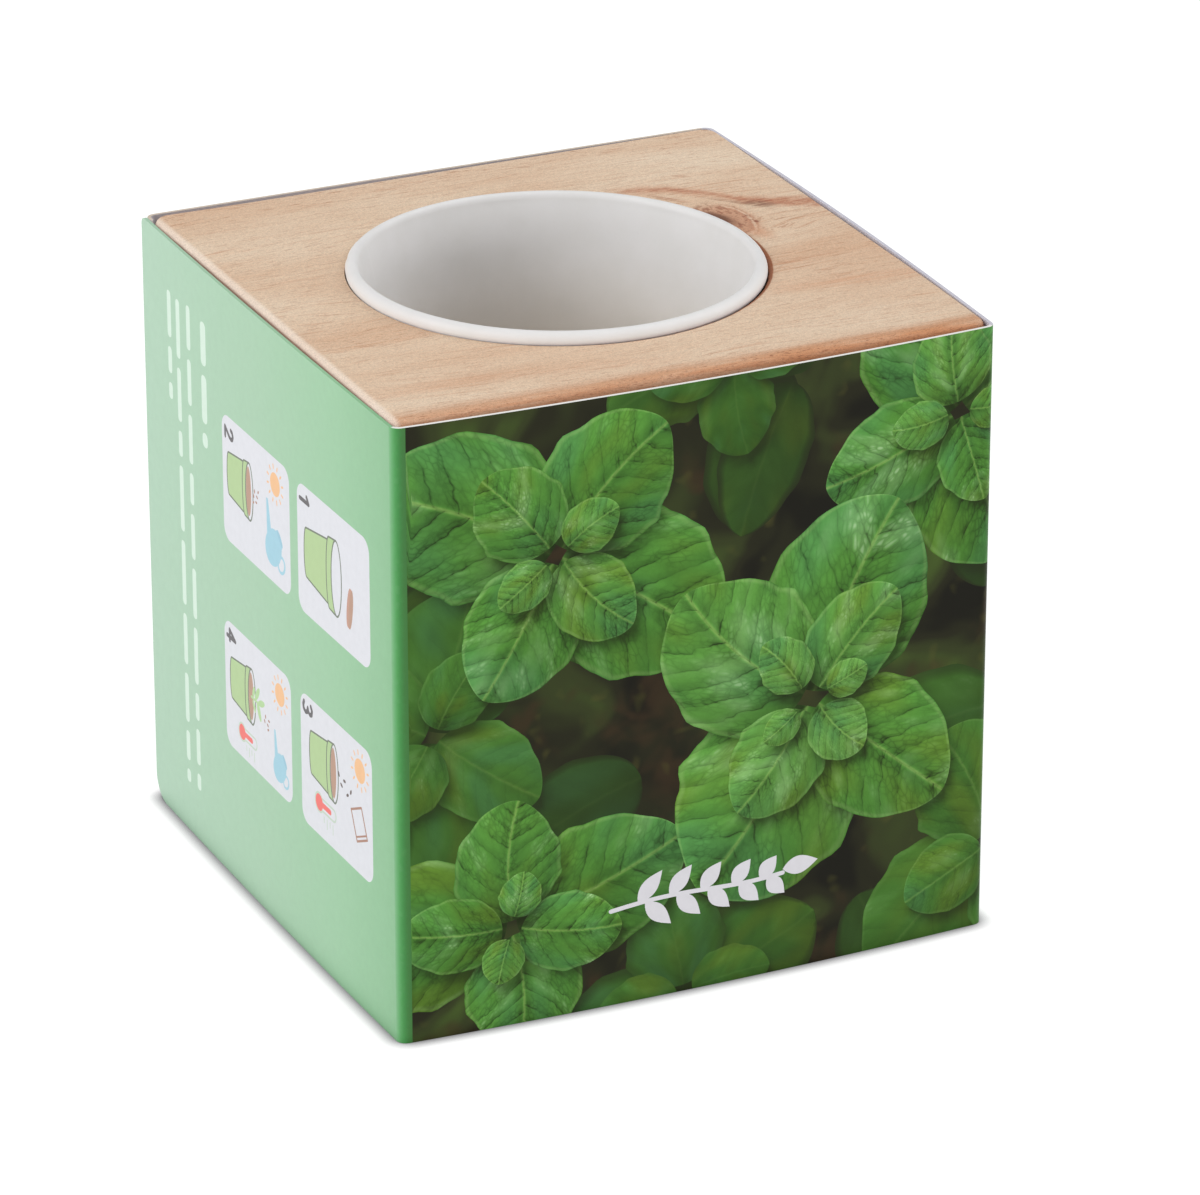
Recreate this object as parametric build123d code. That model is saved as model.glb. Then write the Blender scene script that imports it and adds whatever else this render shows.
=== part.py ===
"""Indoor herb planter kit.

A solid pine block with a blind round bore holds a rolled-rim paper cup.
A folded card sleeve is pushed over the block.  In the cup lie a pressed
coir tablet and, on it, a small paper sachet of seeds.

Millimetres, +Z up.  Origin: centre of the bounding box, on the base plane.
The broad picture panel of the sleeve faces -Y, its instruction panel -X.
"""
from build123d import *
import os
from math import cos, sin, tan, radians, sqrt

os.makedirs("parts", exist_ok=True)

# ------------------------------------------------------------------ sleeve
SLEEVE_W = 79.6        # outside width, fold to fold, both ways
SLEEVE_H = 80.2        # height of the card strip
CARD_T = 0.45          # card thickness
FOLD_R = 1.30          # outside radius of a fold
BOW_FRONT = 1.20       # how far each panel bulges outward at mid width
BOW_LEFT = 0.35
BOW_RIGHT = 0.20
BOW_BACK = 0.12
FLAP_L = 13.0          # glue flap, on the inside of the left panel
FLAP_SHORT = 3.0       # the flap stops this short of the card's top and bottom
FLAP_ROOT = 0.6        # except for this much next to the fold
LEFT_END_GAP = 0.15    # left panel stops this short of the back face
END_R_TOP = 0.9        # rounded corners of the left panel's cut end
END_R_BOTTOM = 3.4

# ------------------------------------------------------------------- block
BLOCK_WX = 78.2        # nearly square block
BLOCK_WY = 77.6
BLOCK_H = 80.5
BLOCK_CORNER_R = 2.0   # upright edges
BLOCK_TOP_R = 1.6      # edges of the top face
BLOCK_BASE_R = 0.8     # edges of the base
BLOCK_SHIFT_X = 0.175  # the block sits a little to one side in the sleeve
BLOCK_SHIFT_Y = -0.05
BORE_D = 52.7
BORE_SHIFT_X = -0.525  # the bore is not quite in the block's middle
BORE_SHIFT_Y = -0.20
BORE_DEPTH = 49.9
SPUR_D = 2.4           # mark of the drill's centre point in the bore's floor
SPUR_DEPTH = 1.6

# --------------------------------------------------------------------- cup
CUP_H = 51.0           # heel to top of the rim
CUP_RIM_R = 24.95      # centre circle of the rolled rim
CUP_ROLL_R = 1.10      # outside radius of the roll
CUP_TAPER = 6.26       # half angle of the cone, degrees
CUP_PAPER_T = 0.33
CUP_SHIFT_X = -0.20    # the cup stands a little to one side in the bore
CUP_SHIFT_Y = -0.05
ROLL_END_DEG = -118.0  # where the rolled edge stops, under the rim
HEEL_LIP_H = 5.0       # inner lip of the folded heel
BASE_T = 0.33
BASE_Z = 6.6           # top of the recessed bottom above the heel
SEAM_W = 6.5           # lap of the side seam
SEAM_DEG = 149.0       # seam's place round the cup

# ------------------------------------------------------------ coir tablet
PELLET_D = 33.0
PELLET_H = 10.0
PELLET_CHAMFER = 1.3
PELLET_DIMPLE_D = 5.0
PELLET_DIMPLE_DEPTH = 2.6

# ----------------------------------------------------------------- sachet
SACHET_W = 21.0
SACHET_L = 26.0
SACHET_BORDER = 3.0    # sealed border
SACHET_PAPER_T = 0.15
SACHET_BULGE = 1.05    # half thickness of the filled middle
SACHET_TURN = 24.0     # lies turned on the tablet, degrees
SEED_D = 0.90           # loose round seeds

# ------------------------------------------------------------------ places
SX = (BOW_LEFT - BOW_RIGHT) / 2      # sleeve centre, so the whole is centred
SY = (BOW_FRONT - BOW_BACK) / 2
KX = SX + BLOCK_SHIFT_X              # block centre
KY = SY + BLOCK_SHIFT_Y
BX = KX + BORE_SHIFT_X               # bore axis
BY = KY + BORE_SHIFT_Y
CX = BX + CUP_SHIFT_X                # cup axis
CY = BY + CUP_SHIFT_Y
BORE_FLOOR = BLOCK_H - BORE_DEPTH
PELLET_Z = BORE_FLOOR + BASE_Z
SACHET_Z = PELLET_Z + PELLET_H


def arc_mid(c, r, deg):
    return (c[0] + r * cos(radians(deg)), c[1] + r * sin(radians(deg)))


# ================================================================= sleeve
def make_sleeve():
    hw, t, r = SLEEVE_W / 2, CARD_T, FOLD_R
    ri = r - t
    ye = hw - LEFT_END_GAP
    yf = hw - FLAP_L
    y0 = -hw + r

    # left panel: concentric arcs for its two faces and the flap's inner face
    chord = ye - y0
    rl = (chord ** 2 / 4 + BOW_LEFT ** 2) / (2 * BOW_LEFT)
    lc = (-hw - BOW_LEFT + rl, (ye + y0) / 2)

    def left_x(y, inset):
        return lc[0] - sqrt((rl - inset) ** 2 - (y - lc[1]) ** 2)

    # outer boundary, from the left panel's cut end round to the back fold
    fl = (-hw + r, -hw + r)
    fr = (hw - r, -hw + r)
    br = (hw - r, hw - r)
    bl = (-hw + t + r, hw - r)
    outer = [
        ThreePointArc((-hw, ye), (left_x(lc[1], 0), lc[1]), (-hw, y0)),
        ThreePointArc((-hw, y0), arc_mid(fl, r, 225), (-hw + r, -hw)),
        ThreePointArc((-hw + r, -hw), (0, -hw - BOW_FRONT), (hw - r, -hw)),
        ThreePointArc((hw - r, -hw), arc_mid(fr, r, 315), (hw, -hw + r)),
        ThreePointArc((hw, -hw + r), (hw + BOW_RIGHT, 0), (hw, hw - r)),
        ThreePointArc((hw, hw - r), arc_mid(br, r, 45), (hw - r, hw)),
        ThreePointArc((hw - r, hw), (0, hw + BOW_BACK), (-hw + t + r, hw)),
        ThreePointArc((-hw + t + r, hw), arc_mid(bl, r, 135), (-hw + t, hw - r)),
        Line((-hw + t, hw - r), (-hw + t, ye)),
        Line((-hw + t, ye), (-hw, ye)),
    ]
    # inner boundary, from the left panel round to the back fold and the flap,
    # which ends at the given y
    q1 = (left_x(y0, t), y0)

    def inner(y_end):
        ym, yfm = (y_end + y0) / 2, (y_end + hw - r) / 2
        q0 = (left_x(y_end, t), y_end)
        q_end = (left_x(y_end, 2 * t), y_end)
        return [
            Line(q_end, q0),
            ThreePointArc(q0, (left_x(ym, t), ym), q1),
            ThreePointArc(q1, arc_mid(fl, ri, 225), (-hw + r, -hw + t)),
            ThreePointArc((-hw + r, -hw + t), (0, -hw - BOW_FRONT + t), (hw - r, -hw + t)),
            ThreePointArc((hw - r, -hw + t), arc_mid(fr, ri, 315), (hw - t, -hw + r)),
            ThreePointArc((hw - t, -hw + r), (hw + BOW_RIGHT - t, 0), (hw - t, hw - r)),
            ThreePointArc((hw - t, hw - r), arc_mid(br, ri, 45), (hw - r, hw - t)),
            ThreePointArc((hw - r, hw - t), (0, hw + BOW_BACK - t), (-hw + t + r, hw - t)),
            ThreePointArc((-hw + t + r, hw - t), arc_mid(bl, ri, 135), (-hw + 2 * t, hw - r)),
            ThreePointArc((-hw + 2 * t, hw - r), (left_x(yfm, 2 * t), yfm), q_end),
        ]

    def slab(y_end, z0, z1):
        ring = make_face(outer) - make_face(inner(y_end))
        return Pos(0, 0, z0) * extrude(ring, amount=z1 - z0, dir=(0, 0, 1))

    y_root = hw - r - FLAP_ROOT
    body = slab(yf, FLAP_SHORT, SLEEVE_H - FLAP_SHORT)
    body = body + slab(y_root, 0.0, FLAP_SHORT) + slab(y_root, SLEEVE_H - FLAP_SHORT, SLEEVE_H)

    # rounded corners of the left panel's cut end
    def corner(radius, z_edge, up):
        z_in = z_edge - up * radius
        square = Pos(-hw - 1.0, ye - radius / 2 + 0.5, z_edge - up * (radius / 2 - 0.5)) * Box(
            2 * (1.0 + t), radius + 1.0, radius + 1.0)
        rod = Pos(-hw - 1.0, ye - radius, z_in) * Rot(0, 90, 0) * Cylinder(radius, 6.0)
        keep_y = Pos(-hw - 1.0, ye - radius - 5.0, z_in) * Box(6.0, 10.0, 30.0)
        keep_z = Pos(-hw - 1.0, ye, z_in - up * 5.0) * Box(6.0, 30.0, 10.0)
        return square - rod - keep_y - keep_z

    body = body - corner(END_R_TOP, SLEEVE_H, 1)
    body = body - corner(END_R_BOTTOM, 0.0, -1)
    return Pos(SX, SY, 0) * body


# ================================================================== block
def make_block():
    b = Pos(0, 0, BLOCK_H / 2) * Box(BLOCK_WX, BLOCK_WY, BLOCK_H)
    b = fillet(b.edges().filter_by(Axis.Z), BLOCK_CORNER_R)
    b = fillet(b.faces().sort_by(Axis.Z)[-1].edges(), BLOCK_TOP_R)
    b = fillet(b.faces().sort_by(Axis.Z)[0].edges(), BLOCK_BASE_R)
    b = Pos(KX, KY, 0) * b
    b = b - Pos(BX, BY, BORE_FLOOR + 40) * Cylinder(BORE_D / 2, 80)
    b = b - Pos(BX, BY, BORE_FLOOR - SPUR_DEPTH / 2) * Cone(0.01, SPUR_D / 2, SPUR_DEPTH)
    return b


# ==================================================================== cup
A = radians(CUP_TAPER)
ROLL_Z = CUP_H - CUP_ROLL_R
T_IN = (CUP_RIM_R - CUP_ROLL_R * cos(A), ROLL_Z + CUP_ROLL_R * sin(A))


def wall_r(z, inset=0.0):
    """Radius of the wall's inner face at height z, moved inward by inset."""
    return T_IN[0] + (z - T_IN[1]) * tan(A) - inset / cos(A)


def rz(r, z):
    return (r, 0, z)


def roll(radius, deg):
    return rz(CUP_RIM_R + radius * cos(radians(deg)), ROLL_Z + radius * sin(radians(deg)))


def make_cup_sidewall():
    t = CUP_PAPER_T
    start = 180.0 - CUP_TAPER
    mid = (start + ROLL_END_DEG) / 2
    ro, ri = CUP_ROLL_R, CUP_ROLL_R - t
    lip_o = BASE_T
    lip_i = BASE_T + t
    pts_low = [
        rz(wall_r(t), t),
        rz(wall_r(t, lip_o), t),
        rz(wall_r(HEEL_LIP_H, lip_o), HEEL_LIP_H),
        rz(wall_r(HEEL_LIP_H, lip_i), HEEL_LIP_H),
        rz(wall_r(0, lip_i), 0),
        rz(wall_r(0, -t), 0),
    ]
    edges = [
        Line(pts_low[-1], roll(ri, start)),
        ThreePointArc(roll(ri, start), roll(ri, mid), roll(ri, ROLL_END_DEG)),
        Line(roll(ri, ROLL_END_DEG), roll(ro, ROLL_END_DEG)),
        ThreePointArc(roll(ro, ROLL_END_DEG), roll(ro, mid), roll(ro, start)),
        Line(roll(ro, start), pts_low[0]),
    ]
    edges += [Line(a, b) for a, b in zip(pts_low[:-1], pts_low[1:])]
    wall = revolve(make_face(edges), axis=Axis.Z)

    # lap of the side seam, one more paper thickness on the outside
    z0, z1 = 0.6, ROLL_Z - 2.2
    quad = [rz(wall_r(z0, -0.5 * t), z0), rz(wall_r(z0, -2 * t), z0),
            rz(wall_r(z1, -2 * t), z1), rz(wall_r(z1, -0.5 * t), z1)]
    lap_face = make_face([Line(a, b) for a, b in zip(quad, quad[1:] + quad[:1])])
    arc = 360.0 * SEAM_W / (2 * 3.14159265 * wall_r(CUP_H / 2))
    lap = Rot(0, 0, SEAM_DEG - arc / 2) * revolve(lap_face, axis=Axis.Z, revolution_arc=arc)
    return Pos(CX, CY, BORE_FLOOR) * (wall + lap)


def make_cup_base():
    t, b = CUP_PAPER_T, BASE_T
    pts = [
        rz(0, BASE_Z), rz(wall_r(BASE_Z), BASE_Z), rz(wall_r(t), t),
        rz(wall_r(t, b), t), rz(wall_r(BASE_Z - b, b), BASE_Z - b), rz(0, BASE_Z - b),
    ]
    face = make_face([Line(p, q) for p, q in zip(pts, pts[1:] + pts[:1])])
    return Pos(CX, CY, BORE_FLOOR) * revolve(face, axis=Axis.Z)


# ============================================================ coir tablet
def make_pellet():
    r, h, c = PELLET_D / 2, PELLET_H, PELLET_CHAMFER
    p = Pos(0, 0, h / 2) * Cylinder(r, h)
    p = chamfer(p.edges().filter_by(GeomType.CIRCLE), c)
    p = p - Pos(0, 0, h - PELLET_DIMPLE_DEPTH / 2) * Cone(
        PELLET_DIMPLE_D * 0.3, PELLET_DIMPLE_D / 2, PELLET_DIMPLE_DEPTH)
    return Pos(CX, CY, PELLET_Z) * p


# ================================================================= sachet
def frustum(w0, l0, z0, w1, l1, z1):
    return loft([Pos(0, 0, z0) * Rectangle(w0, l0), Pos(0, 0, z1) * Rectangle(w1, l1)], ruled=True)


PW, PL = SACHET_W - 2 * SACHET_BORDER, SACHET_L - 2 * SACHET_BORDER
FLAT_IN = 5.0          # the filled middle's flat is this much smaller


def sachet_place():
    return Pos(CX, CY, SACHET_Z + SACHET_BULGE) * Rot(0, 0, SACHET_TURN)


def make_sachet():
    t, h = SACHET_PAPER_T, SACHET_BULGE
    body = Box(SACHET_W, SACHET_L, 2 * t)
    hollow = None
    for s in (1, -1):
        body = body + frustum(PW, PL, s * t * 0.5, PW - FLAT_IN, PL - FLAT_IN, s * h)
        f = frustum(PW - 4 * t, PL - 4 * t, 0.0, PW - FLAT_IN - 2 * t, PL - FLAT_IN - 2 * t, s * (h - t))
        hollow = f if hollow is None else hollow + f
    return sachet_place() * (body - hollow)


def make_seeds():
    r = SEED_D / 2
    z = -(SACHET_BULGE - SACHET_PAPER_T) + r + 0.01
    spots = [
        (-3.6, -6.4), (-1.4, -7.0), (0.9, -6.1), (3.1, -6.8),
        (-4.1, -3.9), (-2.0, -4.4), (0.4, -3.8), (2.5, -4.2), (4.2, -3.0),
        (-3.2, -1.5), (-0.9, -1.8), (1.4, -1.4), (3.4, -0.6),
        (-4.0, 1.0), (-1.7, 0.7), (0.8, 1.2), (2.9, 2.0),
        (-2.8, 3.4), (-0.3, 3.7), (2.2, 4.6), (-3.7, 5.9), (0.6, 6.4),
    ]
    return Compound(children=[(sachet_place() * Pos(x, y, z) * Sphere(r)).solids()[0] for x, y in spots])


PARTS = {
    "wood_block": make_block,
    "cup_sidewall": make_cup_sidewall,
    "cup_base": make_cup_base,
    "sleeve": make_sleeve,
    "coir_pellet": make_pellet,
    "seed_sachet": make_sachet,
    "seeds": make_seeds,
}

for name, make in PARTS.items():
    shape = make()
    export_step(shape, f"parts/{name}.step")
    bb = shape.bounding_box()
    print(f"{name:14s} vol {shape.volume:10.1f}  "
          f"x {bb.min.X:7.2f} {bb.max.X:7.2f}  y {bb.min.Y:7.2f} {bb.max.Y:7.2f}  z {bb.min.Z:6.2f} {bb.max.Z:6.2f}")
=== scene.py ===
import math
import random

import bpy
import numpy as np
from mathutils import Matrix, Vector, noise
from mathutils.geometry import delaunay_2d_cdt


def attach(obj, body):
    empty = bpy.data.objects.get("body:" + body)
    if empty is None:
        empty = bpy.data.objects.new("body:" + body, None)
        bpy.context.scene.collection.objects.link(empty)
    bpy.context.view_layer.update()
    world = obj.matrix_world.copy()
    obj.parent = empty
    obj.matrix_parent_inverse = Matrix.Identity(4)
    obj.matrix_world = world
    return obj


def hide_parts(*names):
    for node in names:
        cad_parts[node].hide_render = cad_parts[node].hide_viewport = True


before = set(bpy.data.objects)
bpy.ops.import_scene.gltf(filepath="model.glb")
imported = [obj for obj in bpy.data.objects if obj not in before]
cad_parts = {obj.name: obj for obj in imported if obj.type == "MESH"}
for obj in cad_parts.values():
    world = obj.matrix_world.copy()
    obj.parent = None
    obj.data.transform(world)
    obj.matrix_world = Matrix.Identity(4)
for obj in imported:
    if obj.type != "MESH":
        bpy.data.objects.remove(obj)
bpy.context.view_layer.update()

MM = 0.001

# ---------------------------------------------------------------- dimensions
# The same millimetres as the solid model.
SLEEVE_W, SLEEVE_H, CARD_T, FOLD_R = 79.6, 80.2, 0.45, 1.30
BOW_FRONT, BOW_LEFT, BOW_RIGHT, BOW_BACK = 1.20, 0.35, 0.20, 0.12
FLAP_L, LEFT_END_GAP, END_R_TOP, END_R_BOTTOM = 13.0, 0.15, 0.9, 3.4
FLAP_SHORT, FLAP_ROOT = 3.0, 0.6
BLOCK_WX, BLOCK_WY, BLOCK_H = 78.2, 77.6, 80.5
BLOCK_CORNER_R, BLOCK_TOP_R, BLOCK_BASE_R = 2.0, 1.6, 0.8
BORE_R, BORE_DEPTH, SPUR_R, SPUR_DEPTH = 26.35, 49.9, 1.2, 1.6
CUP_H, CUP_RIM_R, CUP_ROLL_R, CUP_TAPER, CUP_T = 51.0, 24.95, 1.10, 6.26, 0.33
ROLL_END_DEG, HEEL_LIP_H, BASE_T, BASE_Z = -118.0, 5.0, 0.33, 6.6
SEAM_W, SEAM_DEG = 6.5, 149.0
PELLET_R, PELLET_H, PELLET_CH = 16.5, 10.0, 1.3
DIMPLE_R, DIMPLE_D = 2.5, 2.6
SACHET_W, SACHET_L, SACHET_BORDER, SACHET_BULGE, SACHET_TURN = 21.0, 26.0, 3.0, 1.05, 24.0
SEED_D = 0.90

SX, SY = (BOW_LEFT - BOW_RIGHT) / 2, (BOW_FRONT - BOW_BACK) / 2
KX, KY = SX + 0.175, SY - 0.05         # block
BX, BY = KX - 0.525, KY - 0.20         # bore
CX, CY = BX - 0.20, BY - 0.05          # cup
FLOOR_Z = BLOCK_H - BORE_DEPTH
PELLET_Z = FLOOR_Z + BASE_Z
SACHET_Z = PELLET_Z + PELLET_H


# ------------------------------------------------------------ shader helpers
def srgb(r, g, b):
    def f(c):
        c /= 255.0
        return c / 12.92 if c <= 0.04045 else ((c + 0.055) / 1.055) ** 2.4
    return (f(r), f(g), f(b), 1.0)


class Mat:
    """A node material, with short calls for the nodes used here."""

    def __init__(self, name):
        self.mat = bpy.data.materials.new(name)
        self.mat.use_nodes = True
        self.nt = self.mat.node_tree
        self.nt.nodes.clear()
        self.out = self.nt.nodes.new("ShaderNodeOutputMaterial")
        self.bsdf = self.nt.nodes.new("ShaderNodeBsdfPrincipled")
        self.nt.links.new(self.bsdf.outputs[0], self.out.inputs[0])

    def put(self, value, socket):
        if isinstance(value, bpy.types.NodeSocket):
            self.nt.links.new(value, socket)
        elif value is not None:
            socket.default_value = value

    def set(self, **values):
        for k, v in values.items():
            self.put(v, self.bsdf.inputs[k.replace("_", " ")])

    def m(self, op, a, b=None, c=None, clamp=False):
        n = self.nt.nodes.new("ShaderNodeMath")
        n.operation = op
        n.use_clamp = clamp
        for v, s in zip((a, b, c), n.inputs):
            self.put(v, s)
        return n.outputs[0]

    def vm(self, op, a, b=None, scale=None):
        n = self.nt.nodes.new("ShaderNodeVectorMath")
        n.operation = op
        self.put(a, n.inputs[0])
        self.put(b, n.inputs[1])
        if scale is not None:
            self.put(scale, n.inputs["Scale"])
        return n.outputs[1] if op in ("LENGTH", "DOT_PRODUCT", "DISTANCE") else n.outputs[0]

    def mix(self, fac, a, b, blend="MIX"):
        n = self.nt.nodes.new("ShaderNodeMix")
        n.data_type = "RGBA"
        n.blend_type = blend
        n.clamp_factor = True
        self.put(fac, n.inputs[0])
        self.put(a, n.inputs[6])
        self.put(b, n.inputs[7])
        return n.outputs[2]

    def step(self, value, lo, hi, to_lo=0.0, to_hi=1.0, smooth=True):
        n = self.nt.nodes.new("ShaderNodeMapRange")
        n.interpolation_type = "SMOOTHSTEP" if smooth else "LINEAR"
        self.put(value, n.inputs[0])
        for s, v in zip(n.inputs[1:5], (lo, hi, to_lo, to_hi)):
            self.put(v, s)
        return n.outputs[0]

    def ramp(self, fac, stops, ease=False):
        n = self.nt.nodes.new("ShaderNodeValToRGB")
        n.color_ramp.interpolation = "EASE" if ease else "LINEAR"
        el = n.color_ramp.elements
        while len(el) < len(stops):
            el.new(0.5)
        for e, (p, c) in zip(el, stops):
            e.position = p
            e.color = c
        self.put(fac, n.inputs[0])
        return n.outputs[0]

    def curve(self, fac, pts, span, values):
        """A smooth curve through pts, read at fac (0..1 over span), given back in its own units."""
        n = self.nt.nodes.new("ShaderNodeValToRGB")
        n.color_ramp.interpolation = "CARDINAL"
        el = n.color_ramp.elements
        while len(el) < len(pts):
            el.new(0.5)
        for e, (a, v) in zip(el, pts):
            e.position = (a - span[0]) / (span[1] - span[0])
            k = (v - values[0]) / (values[1] - values[0])
            e.color = (k, k, k, 1.0)
        self.put(fac, n.inputs[0])
        r, _, _ = self.rgb(n.outputs[0])
        return self.step(r, 0.0, 1.0, values[0], values[1], smooth=False)

    def noise(self, vec, scale, detail=2.0, rough=0.5, dist=0.0, dims="3D"):
        n = self.nt.nodes.new("ShaderNodeTexNoise")
        n.noise_dimensions = dims
        self.put(vec, n.inputs["Vector"])
        self.put(scale, n.inputs["Scale"])
        self.put(detail, n.inputs["Detail"])
        self.put(rough, n.inputs["Roughness"])
        self.put(dist, n.inputs["Distortion"])
        return n.outputs[0]

    def voronoi(self, vec, scale, feature="F1", out="Distance", randomness=1.0):
        n = self.nt.nodes.new("ShaderNodeTexVoronoi")
        n.feature = feature
        self.put(vec, n.inputs["Vector"])
        self.put(scale, n.inputs["Scale"])
        self.put(randomness, n.inputs["Randomness"])
        return n.outputs[out]

    def coords(self, scale=(1000.0, 1000.0, 1000.0)):
        """Object coordinates in millimetres, stretched per axis."""
        tc = self.nt.nodes.new("ShaderNodeTexCoord")
        return self.vm("MULTIPLY", tc.outputs["Object"], scale)

    def scaled(self, vec, scale):
        return self.vm("MULTIPLY", vec, scale)

    def xyz(self, vec):
        n = self.nt.nodes.new("ShaderNodeSeparateXYZ")
        self.put(vec, n.inputs[0])
        return n.outputs[0], n.outputs[1], n.outputs[2]

    def vec(self, x, y, z):
        n = self.nt.nodes.new("ShaderNodeCombineXYZ")
        for v, s in zip((x, y, z), n.inputs):
            self.put(v, s)
        return n.outputs[0]

    def attr(self, name):
        n = self.nt.nodes.new("ShaderNodeAttribute")
        n.attribute_name = name
        n.attribute_type = "GEOMETRY"
        return n

    def rgb(self, color):
        n = self.nt.nodes.new("ShaderNodeSeparateColor")
        self.put(color, n.inputs[0])
        return n.outputs[0], n.outputs[1], n.outputs[2]

    def bump(self, height, strength, distance):
        n = self.nt.nodes.new("ShaderNodeBump")
        self.put(strength, n.inputs["Strength"])
        self.put(distance, n.inputs["Distance"])
        self.put(height, n.inputs["Height"])
        self.nt.links.new(n.outputs[0], self.bsdf.inputs["Normal"])
        return n


# -------------------------------------------------------------- mesh helpers
def new_object(name, verts, faces, mats, face_mat=None, smooth=True):
    me = bpy.data.meshes.new(name)
    me.from_pydata([tuple(v) for v in verts], [], [tuple(f) for f in faces])
    for m in mats:
        me.materials.append(m)
    if face_mat is not None:
        me.polygons.foreach_set("material_index", np.asarray(face_mat, np.int32))
    me.polygons.foreach_set("use_smooth", np.full(len(me.polygons), bool(smooth)))
    me.update()
    ob = bpy.data.objects.new(name, me)
    bpy.context.scene.collection.objects.link(ob)
    return ob


def sharp_by_angle(ob, deg):
    """Edges sharper than this angle keep a crisp break in the shading."""
    me = ob.data
    lim = math.cos(math.radians(deg))
    normals = [p.normal.copy() for p in me.polygons]
    pairs = {}
    for p in me.polygons:
        for k in p.edge_keys:
            pairs.setdefault(k, []).append(p.index)
    for e in me.edges:
        f = pairs.get(e.key, [])
        if len(f) == 2 and normals[f[0]].dot(normals[f[1]]) < lim:
            e.use_edge_sharp = True


def n1(x, seed):
    return noise.noise(Vector((x, seed * 7.31, seed * 3.17)))


def n3(p, seed=0.0):
    return noise.noise(Vector((p[0] + seed, p[1] - 2.0 * seed, p[2] + 0.5 * seed)))


def ring_mesh(rings, first=None, last=None, closed=False):
    """Faces between rings of equal point count. first and last are centre points of end caps."""
    n = len(rings[0])
    verts = [p for r in rings for p in r]
    faces = []
    count = len(rings)
    for i in range(count if closed else count - 1):
        a, b = i * n, ((i + 1) % count) * n
        for k in range(n):
            k2 = (k + 1) % n
            faces.append((a + k, a + k2, b + k2, b + k))
    if first is not None:
        c = len(verts)
        verts.append(first)
        faces += [(c, (k + 1) % n, k) for k in range(n)]
    if last is not None:
        c = len(verts)
        verts.append(last)
        o = (count - 1) * n
        faces += [(c, o + k, o + (k + 1) % n) for k in range(n)]
    return verts, faces


# ================================================================= materials
WOOD = {"pale": srgb(231, 210, 185), "mid": srgb(225, 199, 172), "rosy": srgb(217, 183, 153), "late": srgb(209, 163, 128),
        "light": srgb(240, 223, 201), "fleck": srgb(174, 120, 88)}


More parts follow.
